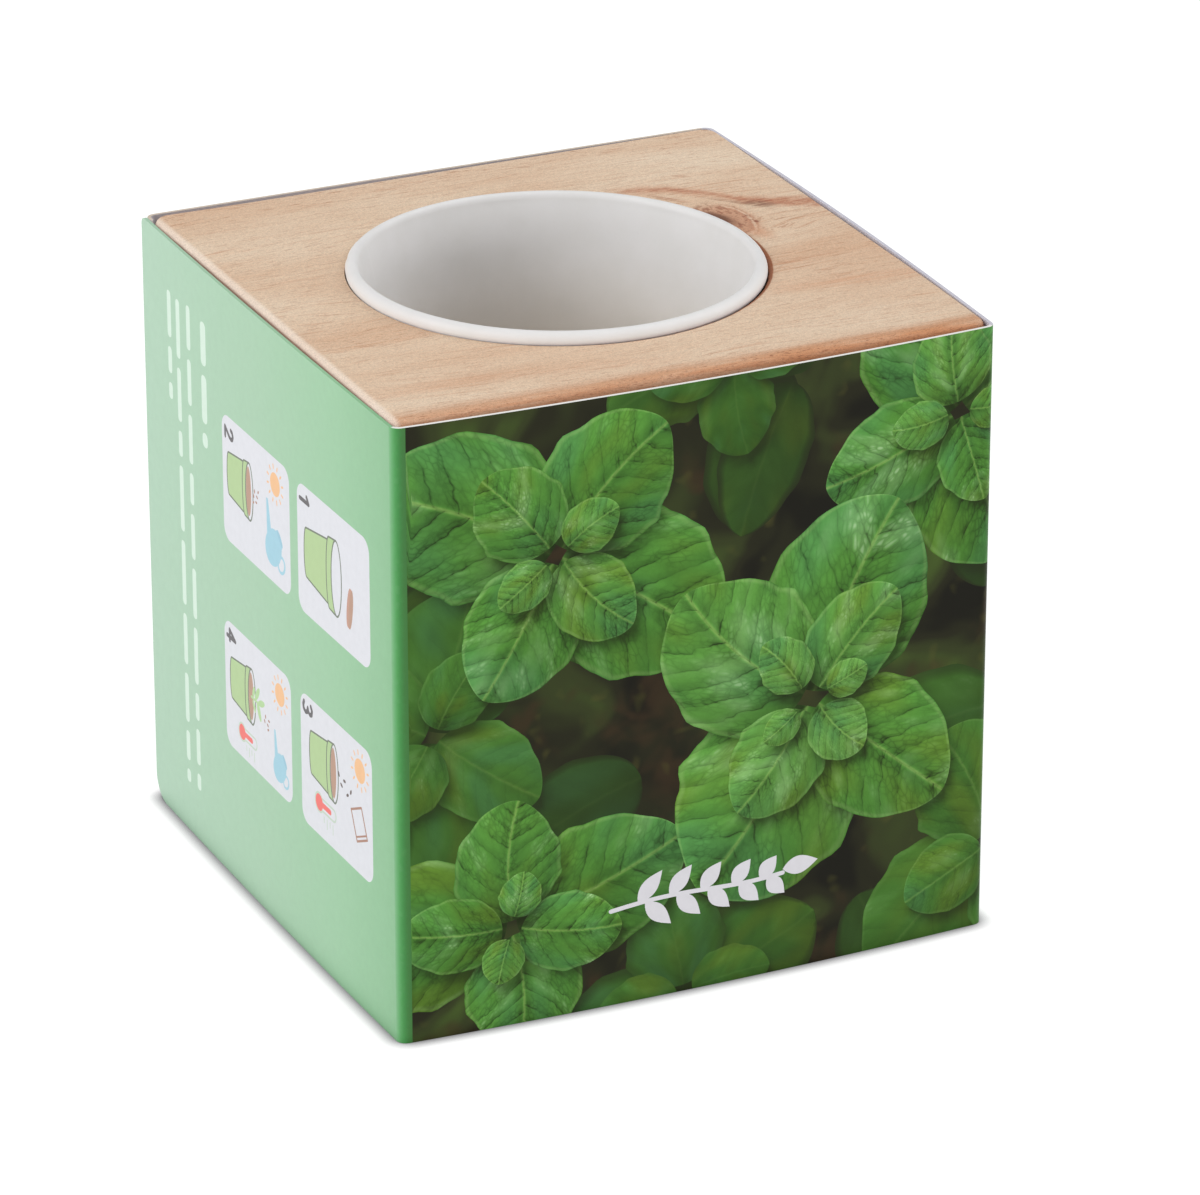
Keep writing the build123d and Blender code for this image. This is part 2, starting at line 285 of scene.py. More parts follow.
def pine():
    s = Mat("pine")
    p = s.coords()
    x, y, z = s.xyz(p)
    below = s.m("SUBTRACT", BLOCK_H, z)

    def oval(cx, cy, rx, ry, lean=0.0):
        """Distance from a leaning ellipse's middle, 1 on its line."""
        u = s.m("DIVIDE", s.m("SUBTRACT", x, cx), rx)
        v = s.m("DIVIDE", s.m("ADD", s.m("SUBTRACT", y, cy), s.m("MULTIPLY", s.m("SUBTRACT", x, cx), lean)), ry)
        return s.m("SQRT", s.m("ADD", s.m("MULTIPLY", u, u), s.m("MULTIPLY", v, v)))

    # the knot beside the bore, a branch that leans through the block
    dx = s.m("SUBTRACT", x, s.m("ADD", 25.5, s.m("MULTIPLY", below, -0.20)))
    dy = s.m("SUBTRACT", y, s.m("ADD", 7.2, s.m("MULTIPLY", below, 0.25)))
    near = s.m("EXPONENT", s.m("MULTIPLY", s.m("ADD", s.m("POWER", s.m("DIVIDE", dx, 13.0), 2.0), s.m("POWER", s.m("DIVIDE", dy, 8.0), 2.0)), -1.0))
    # slow drift of the grain lines, then the bulge round the knot
    drift = s.noise(s.scaled(p, (0.012, 0.05, 0.05)), 1.0, 2.0, 0.5)
    drift2 = s.noise(s.scaled(p, (0.05, 0.16, 0.16)), 1.0, 2.0, 0.5)
    yy = s.m("SUBTRACT", y, s.m("MULTIPLY", s.m("MULTIPLY", dy, near), 0.42))
    yy = s.m("ADD", yy, s.m("MULTIPLY", s.m("SUBTRACT", drift, 0.5), 16.0))
    yy = s.m("ADD", yy, s.m("MULTIPLY", s.m("SUBTRACT", drift2, 0.5), 1.3))
    g = s.vec(x, yy, z)
    # rings about a pith below the block, as wide soft bands on the flat-sawn top
    rad = s.m("SQRT", s.m("ADD", s.m("POWER", s.m("SUBTRACT", yy, 14.0), 2.0), s.m("POWER", s.m("ADD", z, 26.0), 2.0)))
    ring = s.m("DIVIDE", rad, 2.9)
    wn = s.nt.nodes.new("ShaderNodeTexWhiteNoise")
    wn.noise_dimensions = "1D"
    s.put(s.m("FLOOR", ring), wn.inputs["W"])
    fr = s.m("FRACT", ring)
    late = s.m("MULTIPLY", s.step(fr, 0.15, 0.86), s.step(fr, 1.0, 0.90))
    late = s.m("MULTIPLY", late, s.step(wn.outputs[0], 0.15, 0.95, 0.12, 1.0))
    late = s.m("MULTIPLY", late, s.step(s.noise(s.scaled(g, (0.03, 0.25, 0.25)), 1.0, 2.0, 0.5), 0.36, 0.62, 0.25, 1.0))
    fibre = s.noise(s.scaled(g, (0.16, 2.8, 2.8)), 1.0, 3.0, 0.62)
    dash = s.noise(s.scaled(g, (0.10, 3.2, 3.2)), 1.0, 2.0, 0.50)
    fleck = s.noise(s.scaled(g, (0.42, 5.2, 5.2)), 1.0, 2.0, 0.55)
    pore = s.noise(s.scaled(g, (1.5, 6.0, 6.0)), 1.0, 2.0, 0.55)
    grit = s.noise(p, 3.4, 2.0, 0.6)
    dust = s.noise(p, 7.0, 1.0, 0.5)
    patch = s.noise(s.scaled(g, (0.022, 0.07, 0.07)), 1.0, 2.0, 0.5)
    base = s.ramp(patch, [(0.32, WOOD["pale"]), (0.50, WOOD["mid"]), (0.70, WOOD["rosy"])])
    col = s.mix(s.m("MULTIPLY", late, 0.36), base, WOOD["late"])
    col = s.mix(s.step(fibre, 0.52, 0.80, 0.0, 0.28), col, WOOD["late"])
    col = s.mix(s.step(fibre, 0.46, 0.22, 0.0, 0.30), col, WOOD["light"])
    # thin reddish dashes along the grain, most of them in the late bands
    thick = s.m("ADD", 0.55, s.m("MULTIPLY", late, 0.7))
    col = s.mix(s.m("MULTIPLY", s.step(dash, 0.615, 0.665), s.m("MULTIPLY", thick, 0.62)), col, srgb(196, 144, 110))
    col = s.mix(s.m("MULTIPLY", s.step(fleck, 0.60, 0.66), s.m("MULTIPLY", thick, 0.66)), col, WOOD["fleck"])
    col = s.mix(s.m("MULTIPLY", s.step(pore, 0.59, 0.71), 0.42), col, WOOD["fleck"])

    # two soft reddish streaks, beside the bore and along the front
    tear = s.step(s.noise(s.scaled(g, (0.06, 1.1, 1.1)), 1.0, 3.0, 0.6), 0.34, 0.62, 0.30, 1.0)
    d1 = s.m("ABSOLUTE", s.m("ADD", s.m("ADD", y, 14.7), s.m("MULTIPLY", x, 0.115)))
    a1 = s.m("MULTIPLY", s.m("MULTIPLY", s.step(d1, 2.6, 0.2), s.step(x, 16.0, 24.0)), tear)
    col = s.mix(s.m("MULTIPLY", a1, 0.52), col, srgb(212, 158, 122))
    d2 = s.m("ABSOLUTE", s.m("ADD", s.m("ADD", y, 29.2), s.m("MULTIPLY", s.m("POWER", s.m("ADD", x, 33.0), 2.0), 0.0042)))
    a2 = s.m("MULTIPLY", s.m("MULTIPLY", s.step(d2, 2.4, 0.2), s.step(x, 6.0, -8.0)), tear)
    col = s.mix(s.m("MULTIPLY", a2, 0.30), col, srgb(212, 158, 122))

    # the knot: a reddish eye, a pale thin ring round it, then a broken red line
    w1 = s.m("MULTIPLY", s.m("SUBTRACT", s.noise(s.scaled(p, (0.45, 0.45, 0.45)), 1.0, 3.0, 0.6), 0.5), 0.34)
    w2 = s.m("MULTIPLY", s.m("SUBTRACT", s.noise(s.scaled(p, (1.6, 1.6, 1.6)), 1.0, 2.0, 0.6), 0.5), 0.16)
    rk = s.m("SQRT", s.m("ADD", s.m("POWER", s.m("DIVIDE", dx, 3.55), 2.0), s.m("POWER", s.m("DIVIDE", dy, 5.9), 2.0)))
    rk = s.m("ADD", rk, s.m("ADD", w1, w2))
    eye = s.ramp(s.m("DIVIDE", rk, 1.6), [
        (0.0, srgb(178, 124, 96)), (0.30, srgb(192, 140, 110)), (0.50, srgb(200, 150, 119)), (0.60, srgb(184, 126, 96)),
        (0.645, srgb(224, 192, 164)), (0.675, srgb(216, 178, 148)), (0.70, srgb(180, 116, 84)), (0.745, srgb(208, 166, 136)), (1.0, srgb(218, 184, 154))])
    reach = s.m("MULTIPLY", s.m("MULTIPLY", s.step(rk, 1.55, 0.95), s.step(y, -1.0, 2.6)), s.step(s.m("ADD", y, s.m("MULTIPLY", w1, 8.0)), 14.0, 10.5))
    col = s.mix(s.m("MULTIPLY", reach, 0.85), col, eye)
    vein = s.noise(s.scaled(p, (0.9, 0.45, 0.9)), 1.0, 3.0, 0.6, 0.8)
    col = s.mix(s.m("MULTIPLY", s.step(vein, 0.53, 0.62), s.m("MULTIPLY", s.step(rk, 1.30, 0.8), 0.66)), col, srgb(142, 82, 56))
    col = s.mix(s.m("MULTIPLY", s.step(pore, 0.55, 0.70), s.m("MULTIPLY", reach, 0.60)), col, srgb(128, 72, 48))
    # reddish halo in front of it
    col = s.mix(s.m("MULTIPLY", s.step(oval(28.0, 1.2, 2.3, 3.6, 0.25), 1.0, 0.1), 0.55), col, srgb(206, 152, 118))

    # the streak that sweeps over the knot: its middle line y(x), then its width and depth of colour
    t = s.step(x, 14.0, 42.0, smooth=False)
    yc = s.curve(t, [(14.0, 22.0), (17.6, 21.6), (19.2, 21.5), (22.3, 20.9), (24.6, 19.8), (26.6, 18.1), (28.6, 16.3), (30.3, 13.9), (31.7, 12.4),
                     (33.8, 11.2), (36.7, 9.7), (38.5, 8.8), (42.0, 7.4)], (14.0, 42.0), (5.0, 25.0))
    half = s.curve(t, [(14.0, 0.5), (18.0, 0.9), (25.0, 1.2), (29.0, 1.2), (32.0, 1.6), (36.0, 2.1), (42.0, 2.3)], (14.0, 42.0), (0.0, 2.5))
    wav = s.m("MULTIPLY", s.m("SUBTRACT", s.noise(s.scaled(p, (0.45, 1.4, 1.4)), 1.0, 4.0, 0.65), 0.5), 2.6)
    d = s.m("ADD", s.m("SUBTRACT", y, s.m("SUBTRACT", yc, s.m("MULTIPLY", below, 0.3))), wav)
    ad = s.m("ABSOLUTE", d)
    amt = s.curve(t, [(14.0, 0.0), (17.0, 0.25), (20.0, 0.62), (25.0, 0.72), (29.0, 0.66), (31.5, 0.90), (34.0, 0.95), (37.0, 0.85), (40.0, 0.80), (42.0, 0.7)],
                  (14.0, 42.0), (0.0, 1.0))
    broken = s.step(s.noise(s.scaled(p, (0.5, 2.6, 2.6)), 1.0, 4.0, 0.68), 0.34, 0.60, 0.15, 1.0)
    soft = s.m("MULTIPLY", s.m("MULTIPLY", s.step(ad, 3.0, 0.2), amt), 0.70)
    col = s.mix(soft, col, srgb(204, 148, 113))
    core = s.m("MULTIPLY", s.m("MULTIPLY", s.step(s.m("DIVIDE", ad, half), 1.25, 0.10), amt), s.m("MULTIPLY", broken, 0.92))
    col = s.mix(core, col, srgb(170, 100, 70))
    # its darkest stretch, and the smear between it and the bore
    col = s.mix(s.m("MULTIPLY", s.step(oval(32.3, 10.7, 2.5, 1.7, 0.47), 1.15, 0.25), s.m("MULTIPLY", broken, 0.85)), col, srgb(136, 98, 78))
    col = s.mix(s.m("MULTIPLY", s.step(oval(29.6, 12.9, 3.0, 0.95, 0.98), 1.1, 0.2), s.m("MULTIPLY", broken, 0.66)), col, srgb(150, 98, 72))
    col = s.mix(s.m("MULTIPLY", s.step(oval(22.6, 17.2, 2.4, 1.15, 1.15), 1.1, 0.2), s.m("MULTIPLY", broken, 0.62)), col, srgb(168, 108, 78))
    col = s.mix(s.m("MULTIPLY", s.step(oval(27.7, 24.15, 1.3, 0.30, 0.47), 1.1, 0.3), 0.60), col, srgb(176, 116, 86))
    col = s.mix(s.m("MULTIPLY", s.step(oval(29.28, 5.08, 0.42, 0.50), 1.1, 0.4), 0.85), col, srgb(136, 76, 52))
    # the knot's heart, a dark crescent that the bore has cut off
    rb = s.m("SQRT", s.m("ADD", s.m("POWER", s.m("SUBTRACT", x, BX), 2.0), s.m("POWER", s.m("SUBTRACT", y, BY), 2.0)))
    turn = s.m("ABSOLUTE", s.m("SUBTRACT", s.m("ARCTAN2", s.m("SUBTRACT", y, BY), s.m("SUBTRACT", x, BX)), 0.295))
    heart = s.m("MULTIPLY", s.step(s.m("ADD", turn, s.m("MULTIPLY", w1, 0.25)), 0.16, 0.05), s.step(s.m("ADD", rb, s.m("MULTIPLY", w1, 4.0)), 28.6, 27.1))
    col = s.mix(s.m("MULTIPLY", heart, 0.88), col, srgb(108, 66, 45))

    # the bore's wall is browner and darker, most at its mouth
    inbore = s.m("MULTIPLY", s.step(rb, BORE_R + 0.60, BORE_R + 0.34), s.step(below, 0.002, 0.03))
    col = s.mix(s.m("MULTIPLY", inbore, s.step(below, 2.2, 0.7, 0.30, 0.92)), col, srgb(160, 90, 50))
    # rounded-over edges: the front one shows open grain under painted shade, darkest at its foot by the card; the left
    # one gets a painted highlight over its end grain, with a reddish foot of painted shade
    yf, xl = KY - BLOCK_WY / 2, KX - BLOCK_WX / 2
    open_ = s.step(s.noise(s.scaled(p, (0.10, 0.9, 0.9)), 1.0, 3.0, 0.6), 0.28, 0.62, 0.55, 1.0)
    along = s.m("MULTIPLY", s.step(x, -34.0, 34.0, 0.70, 1.0), s.step(below, 4.5, 1.5))
    # front roundover: open grain and painted shade, stronger towards the right
    front = s.m("MULTIPLY", s.m("MULTIPLY", s.step(y, yf + 4.2, yf + 1.0), open_), along)
    col = s.mix(s.m("MULTIPLY", front, 0.95), col, srgb(200, 141, 99))
    # painted shade at the foot of the front roundover, next to the card
    deep = s.m("MULTIPLY", s.m("MULTIPLY", s.step(y, yf + 1.15, yf + 0.15), open_), along)
    col = s.mix(s.m("MULTIPLY", deep, 0.70), col, srgb(196, 126, 82))
    spots = s.m("MULTIPLY", s.step(pore, 0.56, 0.68), s.m("MULTIPLY", front, 0.75))
    col = s.mix(spots, col, srgb(140, 84, 56))
    # painted highlight along the left roundover
    left = s.m("MULTIPLY", s.step(x, xl + 1.0, xl + 0.35), s.step(below, 3.0, 1.0))
    col = s.mix(s.m("MULTIPLY", left, 0.60), col, srgb(245, 230, 215))
    # painted shade: a reddish line at the left roundover's foot, in the gap by the card
    foot = s.m("MULTIPLY", s.m("MULTIPLY", s.step(x, xl + 0.16, xl + 0.06), s.step(z, BLOCK_H - 0.65, BLOCK_H - 0.85)), s.step(below, 3.0, 1.2))
    col = s.mix(s.m("MULTIPLY", foot, 0.60), col, srgb(196, 136, 106))
    # sanded grain: fine light and dark grit all over
    k = s.m("ADD", 1.0, s.m("ADD", s.m("MULTIPLY", s.m("SUBTRACT", grit, 0.5), 0.34), s.m("MULTIPLY", s.m("SUBTRACT", dust, 0.5), 0.58)))
    col = s.mix(1.0, col, s.vec(k, k, k), "MULTIPLY")
    rough = s.step(fibre, 0.2, 0.8, 0.50, 0.66, smooth=False)
    s.set(Base_Color=col, Roughness=rough, Specular_IOR_Level=0.32)
    h = s.m("ADD", s.m("MULTIPLY", fibre, 0.5), s.m("ADD", s.m("MULTIPLY", fleck, -0.25), s.m("ADD", s.m("MULTIPLY", grit, 0.5), s.m("MULTIPLY", pore, -0.2))))
    s.bump(h, 0.36, 0.00012)
    return s.mat


CUPC = [srgb(232, 231, 231), srgb(228, 227, 226), srgb(213, 209, 205)]


def cup_paper():
    s = Mat("cup_paper")
    p = s.coords()
    mott = s.noise(p, 0.22, 3.0, 0.5)
    fib = s.noise(s.scaled(p, (1.0, 1.0, 0.35)), 5.0, 3.0, 0.55)
    col = s.ramp(mott, [(0.3, CUPC[0]), (0.7, CUPC[1])])
    col = s.mix(s.step(fib, 0.55, 0.78, 0.0, 0.10), col, CUPC[2])
    # painted shade and painted warm bounce light: the paper inside the cup is a little browner and darker lower down
    geo = s.nt.nodes.new("ShaderNodeNewGeometry")
    cx, cy, cz = s.xyz(p)
    face = s.vm("DOT_PRODUCT", geo.outputs["Normal"], s.vm("NORMALIZE", s.vec(s.m("SUBTRACT", cx, CX), s.m("SUBTRACT", cy, CY), 0.0)))
    deep = s.m("MULTIPLY", s.step(cz, 77.0, 60.0), s.step(face, 0.15, -0.25))
    col = s.mix(deep, col, s.mix(1.0, col, (0.88, 0.83, 0.755, 1.0), "MULTIPLY"))
    rough = s.step(mott, 0.3, 0.7, 0.46, 0.54, smooth=False)
    s.set(Base_Color=col, Roughness=rough, Specular_IOR_Level=0.40)
    s.bump(s.m("ADD", s.m("MULTIPLY", mott, 0.5), s.m("MULTIPLY", fib, 0.5)), 0.07, 0.00005)
    return s.mat


def board(name, c1, c2, rough):
    s = Mat(name)
    p = s.coords()
    mott = s.noise(p, 0.8, 4.0, 0.6)
    fib = s.noise(s.scaled(p, (2.0, 2.0, 0.7)), 3.0, 3.0, 0.6)
    col = s.ramp(mott, [(0.3, c1), (0.7, c2)])
    col = s.mix(s.step(fib, 0.58, 0.78, 0.0, 0.22), col, srgb(196, 186, 176))
    s.set(Base_Color=col, Roughness=s.step(fib, 0.2, 0.8, rough - 0.05, rough + 0.08, smooth=False), Specular_IOR_Level=0.3)
    s.bump(fib, 0.20, 0.00006)
    return s.mat


def print_finish(s, p, gloss=True):
    """Satin film over the ink: faint orange peel and slightly uneven gloss."""
    peel = s.noise(p, 0.35, 3.0, 0.55)
    fine = s.noise(p, 2.6, 2.0, 0.5)
    rough = s.step(s.m("ADD", s.m("MULTIPLY", peel, 0.7), s.m("MULTIPLY", fine, 0.3)), 0.3, 0.7, 0.30, 0.37, smooth=False)
    s.set(Roughness=rough, Specular_IOR_Level=0.30 if gloss else 0.08)
    if gloss:
        s.set(Coat_Weight=0.15, Coat_Roughness=0.30)
    s.bump(s.m("ADD", s.m("MULTIPLY", peel, 0.8), s.m("MULTIPLY", fine, 0.2)), 0.05, 0.00010)


def print_ink():
    """Flat printed colours, carried per face, with the mottle of ink on coated card."""
    s = Mat("print_ink")
    p = s.coords()
    ink = s.attr("ink").outputs["Color"]
    mott = s.noise(p, 0.9, 4.0, 0.6)
    col = s.mix(0.10, ink, s.mix(1.0, ink, s.ramp(mott, [(0.3, (0.72, 0.72, 0.72, 1)), (0.7, (1.25, 1.25, 1.25, 1))]), "MULTIPLY"))
    s.set(Base_Color=col)
    print_finish(s, p)
    return s.mat


LEAFC = [srgb(46, 84, 28), srgb(66, 114, 40), srgb(80, 134, 54), srgb(110, 160, 78)]


def print_ground():
    """Dark, unfocused undergrowth behind the printed leaves."""
    s = Mat("print_ground")
    p = s.coords()
    a = s.noise(p, 0.075, 2.0, 0.45, 0.6)
    b = s.noise(p, 0.16, 2.0, 0.5, 0.3)
    c = s.noise(p, 0.30, 1.0, 0.5, 0.2)
    col = s.ramp(a, [(0.34, srgb(24, 23, 16)), (0.47, srgb(36, 36, 22)), (0.58, srgb(50, 57, 29)), (0.72, srgb(64, 82, 35))], True)
    col = s.mix(s.step(b, 0.54, 0.74, 0.0, 0.62), col, srgb(58, 44, 28))
    col = s.mix(s.step(c, 0.62, 0.80, 0.0, 0.30), col, srgb(86, 84, 40))
    s.set(Base_Color=col)
    print_finish(s, p, False)
    return s.mat


def print_leaf():
    """Printed leaf: quilted blade between sunken veins, fine net of cells, soft gloss.
    leaf1 holds (vein phase, distance from the midrib, distance to the edge, light across the veins),
    leaf2 holds (shade, tint, depth, leaf number)."""
    s = Mat("print_leaf")
    p = s.coords()
    a1, a2 = s.attr("leaf1"), s.attr("leaf2")
    q, ab, e = s.rgb(a1.outputs["Color"])
    kq = a1.outputs["Alpha"]
    shade, tint, depth = s.rgb(a2.outputs["Color"])
    lid = a2.outputs["Alpha"]
    # wander of the veins
    wob = s.m("SUBTRACT", s.noise(s.vec(s.m("MULTIPLY", q, 1.1), s.m("MULTIPLY", ab, 0.40), lid), 1.0, 2.0, 0.5), 0.5)
    qq = s.m("ADD", q, s.m("MULTIPLY", wob, 0.62))
    f = s.m("FRACT", s.m("ADD", qq, 40.0))
    d = s.m("MULTIPLY", s.m("ABSOLUTE", s.m("SUBTRACT", f, 0.5)), 2.0)          # 1 on a vein, 0 between veins
    strong = s.step(s.noise(s.vec(s.m("MULTIPLY", q, 0.8), s.m("MULTIPLY", ab, 0.22), s.m("ADD", lid, 7.0)), 1.0, 2.0, 0.5), 0.34, 0.66, 0.25, 1.0)
    groove = s.m("MULTIPLY", s.m("MULTIPLY", s.step(d, 0.84, 1.0), strong), s.step(e, 1.0, 0.75, 0.3, 1.0))
    puff = s.m("SINE", s.m("MULTIPLY", f, math.pi))
    slope = s.m("MULTIPLY", s.m("COSINE", s.m("MULTIPLY", f, math.pi)), strong)
    # quilted cells, smaller towards the edge
    cellv = s.vec(s.m("MULTIPLY", qq, 2.7), s.m("ADD", s.m("MULTIPLY", ab, 0.80), s.m("MULTIPLY", wob, 1.4)), lid)
    cell = s.voronoi(cellv, 1.25, "DISTANCE_TO_EDGE")
    cellf = s.voronoi(cellv, 1.25, "F1")
    fade = s.step(s.noise(s.vec(s.m("MULTIPLY", q, 0.6), s.m("MULTIPLY", ab, 0.20), s.m("ADD", lid, 3.0)), 1.0, 2.0, 0.5), 0.36, 0.64, 0.15, 1.0)
    net = s.m("MULTIPLY", s.step(cell, 0.0, 0.17, 1.0, 0.0), fade)
    pebble = s.m("MULTIPLY", s.m("SUBTRACT", s.step(cellf, 0.80, 0.0), 0.42), fade)
    grain = s.noise(p, 2.2, 3.0, 0.6)
    big = s.noise(s.vec(s.m("MULTIPLY", q, 0.40), s.m("MULTIPLY", ab, 0.13), lid), 1.0, 2.0, 0.5)
    hue = s.noise(s.vec(s.m("MULTIPLY", q, 0.22), s.m("MULTIPLY", ab, 0.09), s.m("ADD", lid, 20.0)), 1.0, 1.0, 0.5)
    # brightness; leaves out of focus lose their fine relief
    crisp = s.step(depth, 0.40, 0.04, 0.15, 1.0)
    fine = s.m("MULTIPLY", s.m("MULTIPLY", kq, slope), 0.20)
    fine = s.m("ADD", fine, s.m("MULTIPLY", s.m("SUBTRACT", puff, 0.6), 0.10))
    fine = s.m("ADD", fine, s.m("MULTIPLY", pebble, 0.22))
    fine = s.m("SUBTRACT", fine, s.m("MULTIPLY", net, 0.15))
    fine = s.m("SUBTRACT", fine, s.m("MULTIPLY", groove, 0.26))
    fine = s.m("ADD", fine, s.m("MULTIPLY", s.m("SUBTRACT", grain, 0.5), 0.22))
    lum = s.m("ADD", 0.92, s.m("MULTIPLY", fine, crisp))
    lum = s.m("ADD", lum, s.m("MULTIPLY", s.m("SUBTRACT", big, 0.5), 0.75))
    tone = s.m("ADD", s.m("MULTIPLY", tint, 0.72), s.m("MULTIPLY", big, 0.28))
    col = s.ramp(tone, [(0.0, LEAFC[0]), (0.35, LEAFC[1]), (0.65, LEAFC[2]), (1.0, LEAFC[3])])
    col = s.mix(s.step(hue, 0.50, 0.72, 0.0, 0.55), col, srgb(74, 132, 76))
    col = s.mix(s.step(hue, 0.50, 0.28, 0.0, 0.55), col, srgb(98, 124, 34))
    # midrib: a thin paler line in a soft dark fold
    rib = s.m("MULTIPLY", s.m("MULTIPLY", s.step(ab, 0.36, 0.10), s.step(e, 0.8, 0.25, 0.3, 1.0)), crisp)
    col = s.mix(s.m("MULTIPLY", rib, 0.40), col, srgb(140, 172, 92))
    ribshade = s.m("MULTIPLY", s.step(ab, 0.25, 0.60), s.step(ab, 2.6, 0.7))
    lum = s.m("SUBTRACT", lum, s.m("MULTIPLY", s.m("MULTIPLY", ribshade, 0.20), crisp))
    # a hair of light along the edge, then the edge turns away
    rim = s.m("MULTIPLY", s.step(e, 0.90, 0.96), s.step(e, 1.0, 0.97))
    col = s.mix(s.m("MULTIPLY", s.m("MULTIPLY", rim, 0.20), crisp), col, srgb(150, 186, 112))
    # soft sky gloss on the puffed cells
    gl = s.m("MULTIPLY", s.step(big, 0.52, 0.74), s.m("ADD", 0.35, s.m("MULTIPLY", s.m("MULTIPLY", s.step(pebble, 0.0, 0.45), puff), 0.75)))
    col = s.mix(s.m("MULTIPLY", s.m("MULTIPLY", gl, 0.44), crisp), col, srgb(168, 190, 154))
    k = s.m("MULTIPLY", lum, shade)
    col = s.mix(1.0, col, s.vec(k, k, k), "MULTIPLY")
    # deep shade turns brownish olive, depth pulls a leaf towards the dark ground, its blurred edge first
    col = s.mix(s.step(k, 0.62, 0.22, 0.0, 0.45), col, srgb(38, 44, 18))
    blur = s.m("MULTIPLY", s.step(e, 0.45, 1.0), s.step(depth, 0.16, 0.55))
    col = s.mix(s.m("MAXIMUM", depth, s.m("MULTIPLY", blur, 0.92)), col, srgb(36, 40, 22))
    s.set(Base_Color=col)
    print_finish(s, p, False)
    return s.mat


def coir():
    s = Mat("coir")
    p = s.coords()
    a = s.noise(p, 0.9, 5.0, 0.65)
    b = s.noise(s.scaled(p, (1.0, 0.25, 0.25)), 5.0, 3.0, 0.6, 1.2)
    c = s.noise(s.scaled(p, (0.25, 1.0, 0.25)), 5.0, 3.0, 0.6, 1.2)
    col = s.ramp(a, [(0.25, srgb(58, 38, 24)), (0.5, srgb(98, 66, 40)), (0.75, srgb(138, 98, 62))])
    col = s.mix(s.step(b, 0.58, 0.72, 0.0, 0.7), col, srgb(172, 128, 84))
    col = s.mix(s.step(c, 0.60, 0.74, 0.0, 0.6), col, srgb(40, 26, 17))
    s.set(Base_Color=col, Roughness=s.step(a, 0.2, 0.8, 0.82, 0.95, smooth=False), Specular_IOR_Level=0.2)
    s.bump(s.m("ADD", a, s.m("ADD", b, c)), 0.7, 0.0003)
    return s.mat


def coir_fibre():
    s = Mat("coir_fibre")
    p = s.coords()
    a = s.noise(p, 0.35, 2.0, 0.5)
    b = s.noise(p, 4.0, 2.0, 0.5)
    col = s.ramp(a, [(0.3, srgb(96, 62, 36)), (0.55, srgb(150, 106, 64)), (0.75, srgb(190, 146, 96))])
    s.set(Base_Color=col, Roughness=s.step(b, 0.2, 0.8, 0.60, 0.78, smooth=False), Specular_IOR_Level=0.3)
    return s.mat


def kraft():
    s = Mat("kraft_paper")
    p = s.coords()
    a = s.noise(p, 0.25, 4.0, 0.6)
    f = s.noise(s.scaled(p, (0.35, 2.2, 1.0)), 2.4, 4.0, 0.65, 0.8)
    col = s.ramp(a, [(0.3, srgb(196, 156, 112)), (0.7, srgb(180, 138, 95))])
    col = s.mix(s.step(f, 0.56, 0.74, 0.0, 0.5), col, srgb(150, 108, 70))
    col = s.mix(s.step(f, 0.42, 0.26, 0.0, 0.4), col, srgb(216, 182, 142))
    # the seal round the edge: a paler pressed band with cross ribs, and a line of painted shade in the crease where it
    # meets the filling
    turn = math.radians(SACHET_TURN)
    x, y, _ = s.xyz(p)
    dx, dy = s.m("SUBTRACT", x, CX), s.m("SUBTRACT", y, CY)
    u = s.m("ADD", s.m("MULTIPLY", dx, math.cos(turn)), s.m("MULTIPLY", dy, math.sin(turn)))
    v = s.m("SUBTRACT", s.m("MULTIPLY", dy, math.cos(turn)), s.m("MULTIPLY", dx, math.sin(turn)))
    eu = s.m("SUBTRACT", SACHET_W / 2, s.m("ABSOLUTE", u))
    ev = s.m("SUBTRACT", SACHET_L / 2, s.m("ABSOLUTE", v))
    ed = s.m("MINIMUM", eu, ev)
    band = s.step(ed, SACHET_BORDER, SACHET_BORDER - 0.4)
    side = s.m("LESS_THAN", eu, ev)
    along = s.m("ADD", s.m("MULTIPLY", v, side), s.m("MULTIPLY", u, s.m("SUBTRACT", 1.0, side)))
    rib = s.m("SINE", s.m("MULTIPLY", along, 2 * math.pi / 1.1))
    col = s.mix(s.m("MULTIPLY", band, 0.35), col, srgb(214, 178, 136))
    col = s.mix(s.m("MULTIPLY", band, s.step(rib, 0.1, 0.9, 0.0, 0.50)), col, srgb(150, 108, 70))
    # painted shade in the crease between the seal and the filling
    crease_painted_shade = s.m("MULTIPLY", s.step(ed, SACHET_BORDER + 0.7, SACHET_BORDER + 0.15), s.step(ed, SACHET_BORDER - 0.35, SACHET_BORDER))
    col = s.mix(s.m("MULTIPLY", crease_painted_shade, 0.60), col, srgb(138, 96, 60))
    s.set(Base_Color=col, Roughness=s.step(f, 0.2, 0.8, 0.70, 0.85, smooth=False), Specular_IOR_Level=0.3)
    s.bump(s.m("ADD", f, s.m("MULTIPLY", s.m("MULTIPLY", rib, band), 0.5)), 0.35, 0.00012)
    return s.mat


def seed_skin():
    s = Mat("seed_skin")
    p = s.coords()
    a = s.voronoi(p, 7.0, "F1")
    b = s.noise(p, 1.2, 3.0, 0.6)
    col = s.ramp(b, [(0.3, srgb(54, 34, 22)), (0.7, srgb(104, 68, 42))])
    col = s.mix(s.step(a, 0.5, 0.1, 0.0, 0.5), col, srgb(34, 22, 15))
    s.set(Base_Color=col, Roughness=s.step(b, 0.2, 0.8, 0.45, 0.65, smooth=False), Specular_IOR_Level=0.4)
    s.bump(a, 0.4, 0.00004)
    return s.mat


